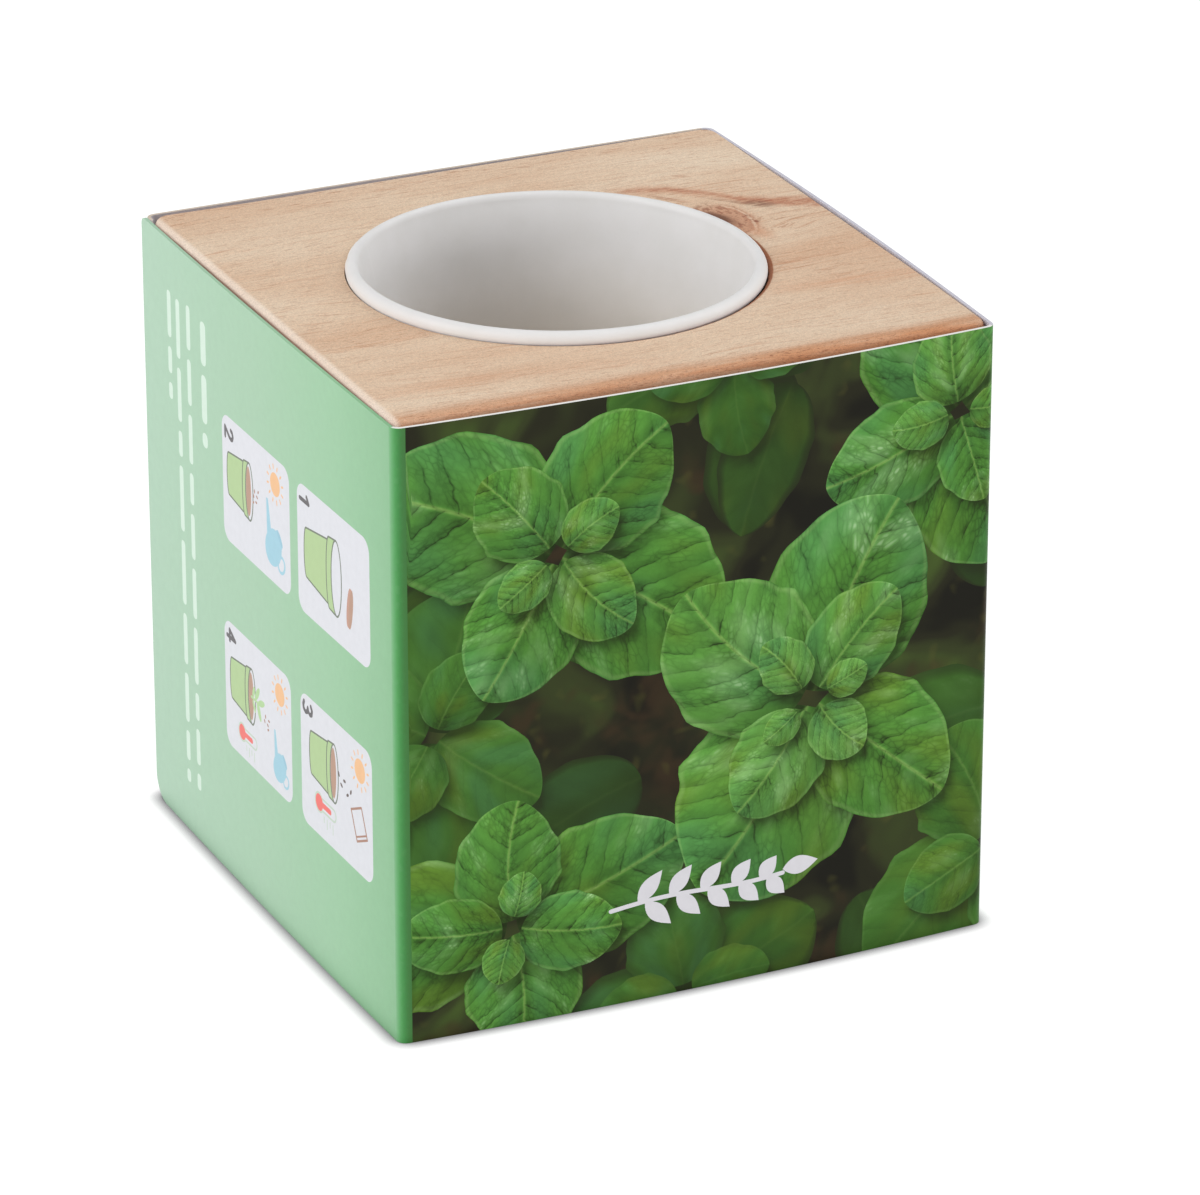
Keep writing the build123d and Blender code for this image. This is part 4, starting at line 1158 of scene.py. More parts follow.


# painted sheen and painted shade: the instruction panel's green pales towards the back and deepens round the front fold
PAINTED_SHEEN_AND_SHADE = [(0.0, srgb(160, 196, 169)), (38.0, srgb(152, 192, 159)), (62.0, srgb(140, 189, 147)), (76.0, srgb(126, 180, 133)),
        (78.0, srgb(122, 178, 129)), (78.55, srgb(108, 171, 116)), (79.0, srgb(84, 158, 90)), (79.3, srgb(64, 143, 70)),
        (79.6, srgb(56, 132, 62)), (79.95, srgb(51, 119, 48)), (80.6, srgb(47, 108, 39))]


def sheen_and_shade_colour(u):
    """The green of the instruction panel, palest at the back as painted sheen and deep where it turns the front fold as
    painted shade.
    """
    us = [a for a, _ in PAINTED_SHEEN_AND_SHADE]
    return np.stack([np.interp(u, us, [c[k] for _, c in PAINTED_SHEEN_AND_SHADE]) for k in range(4)], 1)


def plain_panel():
    """Right-hand panel: the same green, with a pale leaf outline and dashes."""
    u0 = U0["fold_fr"] + 1.0
    flat([(u0, 0), (U0["back"] - 1.0, 0), (U0["back"] - 1.0, SLEEVE_H), (u0, SLEEVE_H)], GREEN)
    c = U0["right"] + 38.5
    rng = random.Random(5)
    for k, z in enumerate((20.0, 16.8, 13.6, 10.4)):
        x = c - 24.0
        while x < c + (20.0 if k < 3 else 2.0):
            ln = rng.uniform(3.5, 8.0)
            flat(rounded(x, z, x + ln, z + 0.95, 0.42, 3), INKC["bar"])
            x += ln + 1.6
    sprig_mark(c, 47.0, 1.55, 90.0, INKC["bar"])


def sprig_mark(cx, cy, k, deg, colour):
    """A plain twig with paired leaflets, along the given direction."""
    ca, sa = math.cos(math.radians(deg)), math.sin(math.radians(deg))

    def put(poly):
        return [(cx + (x * ca - y * sa) * k, cy + (x * sa + y * ca) * k) for x, y in poly]

    def leaflet(x, y, ln, w, ang):
        pts = []
        for i in range(13):
            t = i / 12
            pts.append((ln * t, w * math.sin(math.pi * t ** 0.85)))
        for i in range(11, 0, -1):
            t = i / 12
            pts.append((ln * t, -w * math.sin(math.pi * t ** 0.85)))
        c, s = math.cos(ang), math.sin(ang)
        return put([(x + px * c - py * s, y + px * s + py * c) for px, py in pts])

    spine = [(-13.0 + 2.0 * i, 0.35 * math.sin(i * 0.5)) for i in range(12)]
    for poly in stroke(spine, 0.55):
        flat(put(poly), colour)
    for i, x in enumerate((-9.6, -5.6, -1.6, 2.4, 6.0)):
        ln = 4.7 - 0.35 * i
        y = 0.35 * math.sin((x + 13.0) * 0.25)
        flat(leaflet(x, y + 0.1, ln, 1.05, 0.82), colour)
        flat(leaflet(x + 0.9, y - 0.1, ln, 1.05, -0.82), colour)
    flat(leaflet(9.0, 0.2, 4.6, 1.15, 0.05), colour)


# ---- picture panels: broad smooth-edged herb leaves over dark undergrowth
LIGHT = np.array((-0.45, 0.89))


class Leaf:
    def __init__(self, base, ang, length, width, bend, tint, depth, number, wave, p=0.50, q=0.62):
        self.b, self.a, self.L, self.W = np.array(base, float), ang, length, width
        self.bend = bend if abs(bend) > 1e-3 else 1e-3
        self.tint, self.depth, self.no, self.wave = tint, depth, number, wave
        self.p, self.q = p, q
        tm = p / (p + q)
        self.norm = 1.0 / (tm ** p * (1 - tm) ** q)
        self.R = self.L / self.bend
        self.th0 = self.a - 0.5 * self.bend
        self.c = self.b + self.R * np.array((-math.sin(self.th0), math.cos(self.th0)))

    def w(self, t):
        t = np.clip(t, 0.0, 1.0)
        base = self.W / 2 * self.norm * t ** self.p * (1 - t) ** self.q
        return base * (1 + self.wave * np.sin(t * 21.0 + self.no) + 0.5 * self.wave * np.sin(t * 37.0 + 2.0 * self.no))

    def mid(self, t):
        th = self.th0 + self.bend * np.asarray(t, float)
        return (self.b[0] + self.R * (np.sin(th) - math.sin(self.th0)), self.b[1] - self.R * (np.cos(th) - math.cos(self.th0)), th)

    def outline(self, n=38):
        t = 0.5 - 0.5 * np.cos(np.pi * np.linspace(0.0, 1.0, n))
        x, y, th = self.mid(t)
        w = self.w(t)
        left = np.stack([x - np.sin(th) * w, y + np.cos(th) * w], 1)
        right = np.stack([x + np.sin(th) * w, y - np.cos(th) * w], 1)
        return [tuple(v) for v in left] + [tuple(v) for v in right[-2:0:-1]]

    def local(self, pts):
        """Length along the midrib and signed distance to its left, for points (n, 2)."""
        v = pts - self.c
        rad = np.hypot(v[:, 0], v[:, 1])
        s = 1.0 if self.R > 0 else -1.0
        ang = np.arctan2(v[:, 1] * s, v[:, 0] * s) + math.pi / 2
        d = (ang - self.th0 + math.pi) % (2 * math.pi) - math.pi
        return self.R * d, s * (abs(self.R) - rad)

    def gap(self, pts):
        """Rough signed distance to the outline, negative inside."""
        a, b = self.local(pts)
        t = a / self.L
        tt = np.clip(t, 0.0, 1.0)
        inside = np.abs(b) - self.w(t)
        return np.where((t < 0) | (t > 1), np.hypot(np.abs(b), (t - tt) * self.L), inside)


def rosette(leaves, rng, cx, cy, size, turn, tint, depth, tiers=4, lean=(0.0, 1.0), squash=0.25):
    """A shoot seen from above: crossed pairs, large below and small on top."""
    for k in range(tiers):
        ln = size * (1.0, 0.80, 0.56, 0.33, 0.2)[k] * rng.uniform(0.93, 1.07)
        for side in (0, 1):
            ang = turn + k * math.radians(82) + side * math.pi + rng.uniform(-0.16, 0.16)
            d = np.array((math.cos(ang), math.sin(ang)))
            fore = 1.0 - squash * abs(float(d @ np.array(lean)))
            off = 0.06 * size + 0.02 * size * k
            wid = ln * rng.uniform(0.66, 0.80)
            leaves.append(Leaf((cx + d[0] * off * 0.5, cy + d[1] * off * 0.5), ang, ln * fore, wid * (0.92 + 0.08 * fore),
                               rng.uniform(-0.55, 0.55), min(1.0, max(0.0, tint + 0.08 * k + rng.uniform(-0.12, 0.12))),
                               max(0.0, depth - 0.05 * k), len(leaves) + 1, rng.uniform(0.012, 0.03)))


def foliage(region, seed, shoots, strays):
    """Adds the ground and leaves of one picture panel; region is (u0, u1)."""
    rng = random.Random(seed)
    u0, u1 = region
    PRINTS.append({"poly": [(u0, 0.0), (u1, 0.0), (u1, SLEEVE_H), (u0, SLEEVE_H)], "kind": "ground"})
    leaves = []
    for x, y, deg, ln, wr, tint, depth, bend in strays:
        leaves.append(Leaf((u0 + x, y), math.radians(deg), ln, ln * wr, bend, tint, depth, len(leaves) + 1, rng.uniform(0.012, 0.03)))
    for x, y, size, deg, tint, depth, tiers in shoots:
        rosette(leaves, rng, u0 + x, y, size, math.radians(deg), tint, depth, tiers)
    for i, lf in enumerate(leaves):
        lf.above = leaves[i + 1:]
        poly = clip_rect(lf.outline(), u0, u1, 0.0, SLEEVE_H)
        if len(poly) >= 3:
            t = np.linspace(0.01, 0.97, 26)
            x, y, _ = lf.mid(t)
            rib = [(a, b) for a, b in zip(x, y) if u0 < a < u1 and 0 < b < SLEEVE_H]
            PRINTS.append({"poly": poly, "kind": "leaf", "leaf": lf, "rib": rib})


def leaf_attributes(lf, pts, side):
    """leaf1 and leaf2 values at points of one leaf; side is +1 or -1 per point."""
    a, b = lf.local(pts)
    ab = np.where(np.sign(b) == side, np.abs(b), 0.0)
    t = np.clip(a / lf.L, 0.0, 1.0)
    w = np.maximum(lf.w(t), 0.15)
    e = np.clip(ab / w, 0.0, 1.0)
    step = lf.L / 7.5
    k = lf.L / 25.0
    q = (a - 0.60 * ab - 0.022 * ab ** 2 / k) / step + 0.46 * (side > 0)
    _, _, th = lf.mid(t)
    d = np.stack([np.cos(th), np.sin(th)], 1)
    nrm = np.stack([-np.sin(th), np.cos(th)], 1) * side[:, None]
    g = d - 0.62 * nrm
    g /= np.linalg.norm(g, axis=1)[:, None]
    kq = -(g @ LIGHT)
    half = (nrm @ LIGHT) * e ** 0.8
    along = (d @ LIGHT) * (2 * t - 1)
    shade = 1.0 + 0.26 * half + 0.16 * along
    shade *= 0.66 + 0.34 * np.clip(t / 0.35, 0, 1)
    dark = np.ones(len(pts))
    for j, up in enumerate(lf.above):
        if np.hypot(*(np.array(up.mid(0.5)[:2]) - np.array(lf.mid(0.5)[:2]))) > 0.5 * (up.L + lf.L) + 6:
            continue
        gap = up.gap(pts + LIGHT * 1.5)
        sh = np.clip((1.5 - gap) / 3.2, 0, 1)
        sh = sh * sh * (3 - 2 * sh)
        dark *= 1.0 - 0.60 * sh
    shade = shade * np.maximum(dark, 0.16)
    one = np.ones(len(pts))
    return (np.stack([q, ab / k, e, kq], 1), np.stack([shade, lf.tint * one, lf.depth * one, lf.no * one], 1))


def picture_panels():
    # front: starts just past the near fold and runs round the far one
    front = (U0["front"] + 0.30, U0["right"] - 0.55)
    foliage(front, 21, shoots=[
        (42.0, 82.0, 19.0, 20, 0.30, 0.42, 3),
        (3.0, 40.0, 24.0, 70, 0.34, 0.34, 3),
        (79.0, 11.0, 26.0, 35, 0.34, 0.30, 3),
        (36.0, 0.0, 21.0, 15, 0.28, 0.46, 3),
        (73.0, 70.0, 26.0, 118, 0.60, 0.04, 4),
        (13.0, 13.0, 25.0, 12, 0.52, 0.08, 4),
        (19.0, 61.0, 28.0, 150, 0.60, 0.02, 4),
        (53.0, 36.0, 34.0, 62, 0.66, 0.0, 5),
    ], strays=[
        (30.0, 30.0, 205, 22, 0.62, 0.2, 0.72, 0.3), (44.0, 60.0, 80, 22, 0.6, 0.2, 0.70, -0.3),
        (60.0, 8.0, 300, 22, 0.6, 0.2, 0.66, 0.2), (2.0, 74.0, 330, 20, 0.6, 0.2, 0.72, 0.2),
        (78.0, 46.0, 100, 22, 0.6, 0.2, 0.68, 0.3), (40.0, 16.0, 250, 20, 0.6, 0.25, 0.62, -0.3),
        (6.0, 60.0, 240, 18, 0.6, 0.2, 0.66, 0.4), (50.0, 78.0, 250, 20, 0.6, 0.2, 0.62, 0.2),
        (80.0, 30.0, 190, 24, 0.62, 0.3, 0.46, 0.3), (34.0, 44.0, 120, 20, 0.62, 0.3, 0.50, -0.2),
    ])
    back = (U0["back"] - 0.85, U0["fold_bl"] + 1.2)
    foliage(back, 57, shoots=[
        (12.0, 74.0, 18.0, 40, 0.32, 0.36, 3),
        (66.0, 44.0, 19.0, 10, 0.30, 0.38, 3),
        (30.0, 8.0, 20.0, 75, 0.34, 0.32, 3),
        (62.0, 76.0, 19.0, 65, 0.55, 0.06, 4),
        (70.0, 16.0, 22.0, 130, 0.58, 0.04, 4),
        (10.0, 36.0, 21.0, 95, 0.56, 0.04, 4),
        (36.0, 46.0, 27.0, 25, 0.66, 0.0, 5),
    ], strays=[
        (44.0, 22.0, 60, 22, 0.6, 0.2, 0.68, 0.3), (20.0, 58.0, 150, 20, 0.6, 0.2, 0.66, -0.3),
        (52.0, 62.0, 280, 20, 0.6, 0.2, 0.64, 0.2), (2.0, 14.0, 20, 20, 0.6, 0.2, 0.62, 0.2),
        (50.0, 4.0, 120, 18, 0.6, 0.25, 0.6, 0.3), (76.0, 60.0, 200, 20, 0.6, 0.25, 0.55, 0.3),
    ])


def make_sleeve():
    t, H = CARD_T, SLEEVE_H
    instruction_panel()
    plain_panel()
    picture_panels()
    # the pale twig on the front picture
    sprig_mark(U0["front"] - FOLD_R + 41.4, 13.2, 1.06, 2.0, srgb(206, 204, 209))

    # columns: fine over folds and pictures, coarser elsewhere
    cols = []
    steps = {"left": 2.2, "front": 0.95, "right": 2.6, "back": 1.05, "flap": 3.0}
    for i, (name, a) in enumerate(SECS):
        n = 8 if name.startswith("fold") else max(2, round(a.len / steps[name]))
        cols += [(U_BREAKS[i] + a.len * k / n, name) for k in range(n)]
    cols.append((U_END, "flap"))

    # outline of the flat strip, counter-clockwise, its cut end with rounded corners
    edge_u = [c for c, _ in cols]
    loop = []
    for i in range(9):
        a = math.radians(180 + 90 * i / 8)
        loop.append((END_R_BOTTOM + END_R_BOTTOM * math.cos(a), END_R_BOTTOM + END_R_BOTTOM * math.sin(a)))
    root = U0["flap"] + FLAP_ROOT
    low = [(u, 0.0) for u in edge_u if END_R_BOTTOM + 0.3 < u < root - 0.2] + [(root, 0.0), (root, FLAP_SHORT / 2), (root, FLAP_SHORT)]
    low += [(u, FLAP_SHORT) for u in edge_u if u > root + 0.2]
    loop += low
    loop += [(U_END, FLAP_SHORT + (H - 2 * FLAP_SHORT) * k / 20) for k in range(1, 20)]
    loop += [(u, H - z) for u, z in reversed(low)]
    loop += [(u, H) for u in reversed(edge_u) if END_R_TOP + 0.3 < u <= END_R_BOTTOM + 0.3]
    for i in range(7):
        a = math.radians(90 + 90 * i / 6)
        loop.append((END_R_TOP + END_R_TOP * math.cos(a), H - END_R_TOP + END_R_TOP * math.sin(a)))
    loop += [(0.0, H - (H - END_R_BOTTOM) * k / 30) for k in range(1, 30)]

    verts = [Vector(p) for p in loop]
    edges, faces = [], [list(range(len(loop)))]
    owner = [None]
    rng = random.Random(3)
    row = {"left": 2.2, "front": 0.95, "right": 2.6, "back": 1.05, "flap": 3.0}
    for u, name in cols[1:-1]:
        dz = row.get(name, 1.0)
        n = round(H / dz)
        on_break = bool(np.min(np.abs(U_BREAKS - u)) < 1e-6)
        fold = name.startswith("fold")
        for k in range(1, n):
            z = H * k / n
            ju = 0.0 if (fold or on_break) else rng.uniform(-0.16, 0.16) * dz
            jz = rng.uniform(-0.2, 0.2) * dz
            pu, pz = u + ju, z + jz
            if pu < END_R_BOTTOM and pz < END_R_BOTTOM and math.hypot(END_R_BOTTOM - pu, END_R_BOTTOM - pz) > END_R_BOTTOM - 0.3:
                continue
            lo = FLAP_SHORT + 0.4 if pu > root - 0.4 else 0.3
            if not (lo < pz < H - lo):
                continue
            verts.append(Vector((pu, pz)))
    for pr in PRINTS:
        k = len(verts)
        poly = pr["poly"]
        if sum(p[0] * q[1] - q[0] * p[1] for p, q in zip(poly, poly[1:] + poly[:1])) < 0:
            poly = poly[::-1]
        verts += [Vector(p) for p in poly]
        faces.append(list(range(k, k + len(poly))))
        owner.append(pr)
        rib = pr.get("rib")
        if rib and len(rib) > 1:
            k = len(verts)
            verts += [Vector(p) for p in rib]
            edges += [(k + i, k + i + 1) for i in range(len(rib) - 1)]
    res = delaunay_2d_cdt(verts, edges, faces, 1, 1e-4, True)
    v2 = np.array([tuple(v) for v in res[0]], float)
    tris = [tuple(f) for f in res[2]]
    origin = res[5]
    # outer sheet: keep what lies in the strip, and note the uppermost print of each face
    keep, top = [], []
    for f, o in zip(tris, origin):
        if 0 not in o:
            continue
        a, b, c = v2[f[0]], v2[f[1]], v2[f[2]]
        if abs((b[0] - a[0]) * (c[1] - a[1]) - (b[1] - a[1]) * (c[0] - a[0])) < 1e-9:
            continue
        keep.append(f)
        top.append(max(o))
    tri = np.array(keep, int)
    a, b, c = v2[tri[:, 0]], v2[tri[:, 1]], v2[tri[:, 2]]
    ccw = (b[:, 0] - a[:, 0]) * (c[:, 1] - a[:, 1]) - (b[:, 1] - a[:, 1]) * (c[:, 0] - a[:, 0]) > 0
    tri[~ccw] = tri[~ccw][:, ::-1]
    used = np.unique(tri)
    remap = -np.ones(len(v2), int)
    remap[used] = np.arange(len(used))
    v2, tri = v2[used], remap[tri]

    # the boundary loop of the outer sheet, in order
    half = {}
    for f in tri:
        for i in range(3):
            half[(int(f[i]), int(f[(i + 1) % 3]))] = True
    nxt = {i: j for (i, j) in half if (j, i) not in half}
    start = min(nxt, key=lambda i: (round(v2[i][0], 4), round(v2[i][1], 4)))
    ring, i = [start], nxt[start]
    while i != start:
        ring.append(i)
        i = nxt[i]
    # inner sheet: same border, few points inside
    iv = [Vector(v2[i]) for i in ring]
    for u, name in cols[2:-2:2]:
        for k in range(1, 14):
            if FLAP_SHORT + 0.8 < H * k / 14 < H - FLAP_SHORT - 0.8:
                iv.append(Vector((u, H * k / 14 + rng.uniform(-0.3, 0.3))))
    r2 = delaunay_2d_cdt(iv, [], [list(range(len(ring)))], 1, 1e-5, True)
    w2 = np.array([tuple(v) for v in r2[0]], float)
    t2 = [tuple(f) for f, o in zip(r2[2], r2[5]) if 0 in o]
    assert len(w2) == len(iv), "the inner sheet's border was split"
    t2 = np.array(t2, int)
    a, b, c = w2[t2[:, 0]], w2[t2[:, 1]], w2[t2[:, 2]]
    cc = (b[:, 0] - a[:, 0]) * (c[:, 1] - a[:, 1]) - (b[:, 1] - a[:, 1]) * (c[:, 0] - a[:, 0]) > 0
    t2[cc] = t2[cc][:, ::-1]

    px, py, nx, ny = strip_to_plan(v2[:, 0])
    qx, qy, mx, my = strip_to_plan(w2[:, 0])
    # the right panel's top edge springs out and stands up a hair in its middle
    def spring(u, z):
        return np.sin(np.pi * np.clip((u - U0["right"]) / (U0["fold_br"] - U0["right"]), 0.0, 1.0)) * (z / H) ** 4

    s1, s2 = spring(v2[:, 0], v2[:, 1]), spring(w2[:, 0], w2[:, 1])
    outer = np.stack([px + 0.30 * s1, py, v2[:, 1] + 0.22 * s1], 1)
    inner = np.stack([qx - t * mx + 0.30 * s2, qy - t * my, w2[:, 1] + 0.22 * s2], 1)
    n_out = len(outer)
    allv = np.concatenate([outer, inner]) * MM
    allf = [tuple(f) for f in tri] + [tuple(n_out + np.array(f)) for f in t2]
    rn = len(ring)
    for k in range(rn):
        k2 = (k + 1) % rn
        allf.append((ring[k], n_out + k, n_out + k2, ring[k2]))
    kinds = {"ink": 0, "ground": 1, "leaf": 2}
    mats = [kinds[owner[o]["kind"]] if o else 0 for o in top]
    # the inner sheet takes the darker, cooler copy of the cut-edge board: painted shade
    mats += [5] * len(t2)
    # the ink wraps a little over the cut edge of the left panel's top
    inked = [bool(v2[ring[k]][1] > H - 0.01 and v2[ring[k]][0] < U0["fold_fl"] + 0.6) for k in range(rn)]
    # the right panel's top cut edge also takes the darker, cooler copy of the cut-edge board: painted shade
    for k in range(rn):
        u, zt = v2[ring[k]]
        if inked[k]:
            mats.append(0)
        elif zt > H - 0.01 and u > U0["fold_fr"] + 1.2:
            mats.append(5 if u < U0["back"] else 3)
        else:
            mats.append(4)
    ob = new_object("card_sleeve", allv, allf, [M_INK, M_GROUND, M_LEAF, M_INNER, M_EDGE, M_EDGE_PAINTED_SHADE], mats)
    me = ob.data

    # ink colours and leaf values, per face corner
    nl = len(me.loops)
    ink = np.ones((nl, 4), np.float32)
    l1, l2 = np.zeros((nl, 4), np.float32), np.zeros((nl, 4), np.float32)
    normals = np.zeros((nl, 3), np.float32)
    top = np.array(top)
    nt = len(tri)
    base_ink = np.array(GREEN, np.float32)
    for o in np.unique(top):
        fs = np.nonzero(top == o)[0]
        loops = (fs[:, None] * 3 + np.arange(3)).ravel()
        pr = owner[o]
        if pr is None:
            ink[loops] = base_ink
        elif pr["kind"] == "ink":
            ink[loops] = pr["colour"]
            # painted sheen and painted shade across the instruction panel's green
            if pr.get("fade"):
                ink[loops] = sheen_and_shade_colour(v2[tri[fs]].reshape(-1, 2)[:, 0])
        elif pr["kind"] == "leaf":
            lf = pr["leaf"]
            cen = v2[tri[fs]].mean(1)
            _, cb = lf.local(cen)
            side = np.repeat(np.where(cb >= 0, 1.0, -1.0), 3)
            p1, p2 = leaf_attributes(lf, v2[tri[fs]].reshape(-1, 2), side)
            l1[loops], l2[loops] = p1, p2
    # the instruction panel carries a little more ink; its top cut edge is painted lighter, a painted highlight
    dense = np.nonzero(np.repeat(v2[tri].mean(1)[:, 0] < U0["front"] + 0.4, 3))[0]
    ink[dense, :3] *= 0.92
    # painted highlight on the left panel's inked top cut edge
    for k in range(rn):
        if inked[k]:
            o = nt * 3 + len(t2) * 3 + k * 4
            ink[o:o + 4] = sheen_and_shade_colour(np.full(4, min(v2[ring[k]][0], 76.0))) * 1.08
    on = np.stack([nx, ny, np.zeros_like(nx)], 1)
    inn = np.stack([-mx, -my, np.zeros_like(mx)], 1)
    normals[:nt * 3] = on[tri.ravel()]
    k0 = nt * 3
    normals[k0:k0 + len(t2) * 3] = inn[t2.ravel()]
    k0 += len(t2) * 3
    pn = np.zeros(len(me.polygons) * 3, np.float32)
    me.polygons.foreach_get("normal", pn)
    pn = pn.reshape(-1, 3)
    normals[k0:] = np.repeat(pn[nt + len(t2):], 4, axis=0)
    for name, data in (("ink", ink), ("leaf1", l1), ("leaf2", l2)):
        at = me.attributes.new(name, "FLOAT_COLOR", "CORNER")
        at.data.foreach_set("color", data.ravel())
    me.normals_split_custom_set([tuple(v) for v in normals])
    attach(ob, "sleeve")
    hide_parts("sleeve")
    print("sleeve faces", len(me.polygons), "outer", nt)
    return ob


# ============================================================== coir tablet
def make_pellet():
    n, rng = 168, random.Random(17)
    prof = [(2.5, 0.0), (7, 0.0), (12, 0.0), (PELLET_R - PELLET_CH, 0.0)]
    for i in range(1, 5):
        prof.append((PELLET_R - PELLET_CH + PELLET_CH * i / 4, PELLET_CH * i / 4))
    for i in range(1, 12):
        prof.append((PELLET_R, PELLET_CH + (PELLET_H - 2 * PELLET_CH) * i / 12))
    for i in range(0, 5):
        prof.append((PELLET_R - PELLET_CH * i / 4, PELLET_H - PELLET_CH + PELLET_CH * i / 4))
    for r in (14.2, 13, 11.5, 10, 8.5, 7, 5.5, 4.2, 3.2):
        prof.append((r, PELLET_H))
    prof += [(DIMPLE_R, PELLET_H - 0.1), (2.2, PELLET_H - 1.0), (1.9, PELLET_H - 1.8), (1.5, PELLET_H - DIMPLE_D), (0.7, PELLET_H - DIMPLE_D)]
    rings = []
    for r, z in prof:
        ring = []
        for k in range(n):
            a = 2 * math.pi * k / n
            p = (r * math.cos(a), r * math.sin(a), z)
            d = 0.5 + 0.5 * (0.6 * n3((p[0] * 0.55, p[1] * 0.55, p[2] * 0.55), 3.0) + 0.4 * n3((p[0] * 1.9, p[1] * 1.9, p[2] * 1.9), 9.0))
            d = max(0.0, min(1.0, d)) * 0.55
            inz = -d * 0.6 if z > PELLET_H - 0.2 and r > DIMPLE_R else 0.0
            rr = r - (d if 0.2 < z < PELLET_H - 0.2 and r > 10 else 0.0)
            ring.append(((CX + rr * math.cos(a)) * MM, (CY + rr * math.sin(a)) * MM, (PELLET_Z + z + inz) * MM))
        rings.append(ring)
    verts, faces = ring_mesh(rings, first=(CX * MM, CY * MM, PELLET_Z * MM), last=(CX * MM, CY * MM, (PELLET_Z + PELLET_H - DIMPLE_D) * MM))
    faces = [tuple(f) for f in faces]
    mat = [0] * len(faces)
    # loose fibres pressed into the top and side
    for i in range(520):
        on_top = i % 5 < 3
        a, turn, ln = rng.uniform(0, 2 * math.pi), rng.uniform(0, math.pi), rng.uniform(2.5, 7.0)
        if on_top:
            r = 14.6 * math.sqrt(rng.random())
            c = np.array((r * math.cos(a), r * math.sin(a)))
            if r < 3.4:
                continue
        zc = rng.uniform(1.8, PELLET_H - 1.8)
        curl = rng.uniform(-1.2, 1.2)
        rad = rng.uniform(0.05, 0.10)
        line = []
        for j in range(7):
            s_ = (j / 6 - 0.5) * ln
            if on_top:
                th = turn + curl * j / 6
                q = c + s_ * np.array((math.cos(th), math.sin(th)))
                rr = math.hypot(*q)
                drop = max(0.0, rr - (PELLET_R - PELLET_CH))
                if rr > PELLET_R - 0.3:
                    q = q * (PELLET_R - 0.3) / rr
                    drop = PELLET_CH - 0.3
                line.append((q[0], q[1], PELLET_H - 0.12 - drop - rad))
            else:
                th = turn * 0.5 - 0.6 + curl * 0.3 * j / 6
                aa = a + s_ * math.cos(th) / PELLET_R
                zz = min(max(zc + s_ * math.sin(th), 1.5), PELLET_H - 1.5)
                line.append(((PELLET_R - 0.18) * math.cos(aa), (PELLET_R - 0.18) * math.sin(aa), zz))
        k0 = len(verts)
        for j, p in enumerate(line):
            q0, q1 = np.array(line[max(0, j - 1)]), np.array(line[min(6, j + 1)])
            d = q1 - q0
            d /= max(1e-9, np.linalg.norm(d))
            up = np.array((0, 0, 1.0)) if abs(d[2]) < 0.9 else np.array((1.0, 0, 0))
            s1 = np.cross(d, up)
            s1 /= np.linalg.norm(s1)
            s2 = np.cross(d, s1)
            rj = rad * (0.5 if j in (0, 6) else 1.0)
            for m in range(5):
                w = 2 * math.pi * m / 5
                v = np.array(p) + rj * (math.cos(w) * s1 + math.sin(w) * s2)
                verts.append(((CX + v[0]) * MM, (CY + v[1]) * MM, (PELLET_Z + v[2]) * MM))
        for j in range(6):
            for m in range(5):
                a0, b0 = k0 + j * 5 + m, k0 + j * 5 + (m + 1) % 5
                faces.append((a0, a0 + 5, b0 + 5, b0))
        faces.append(tuple(k0 + m for m in range(5)))
        faces.append(tuple(k0 + 30 + m for m in reversed(range(5))))
        mat += [1] * (len(faces) - len(mat))
    ob = new_object("coir_tablet", verts, faces, [M_COIR, M_FIBRE], mat)
    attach(ob, "pellet")
    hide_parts("coir_pellet")
    return ob


# ========================================================== sachet and seeds
def on_sachet(x, y, z):
    c, s = math.cos(math.radians(SACHET_TURN)), math.sin(math.radians(SACHET_TURN))
    return ((CX + x * c - y * s) * MM, (CY + x * s + y * c) * MM, (SACHET_Z + SACHET_BULGE + z) * MM)


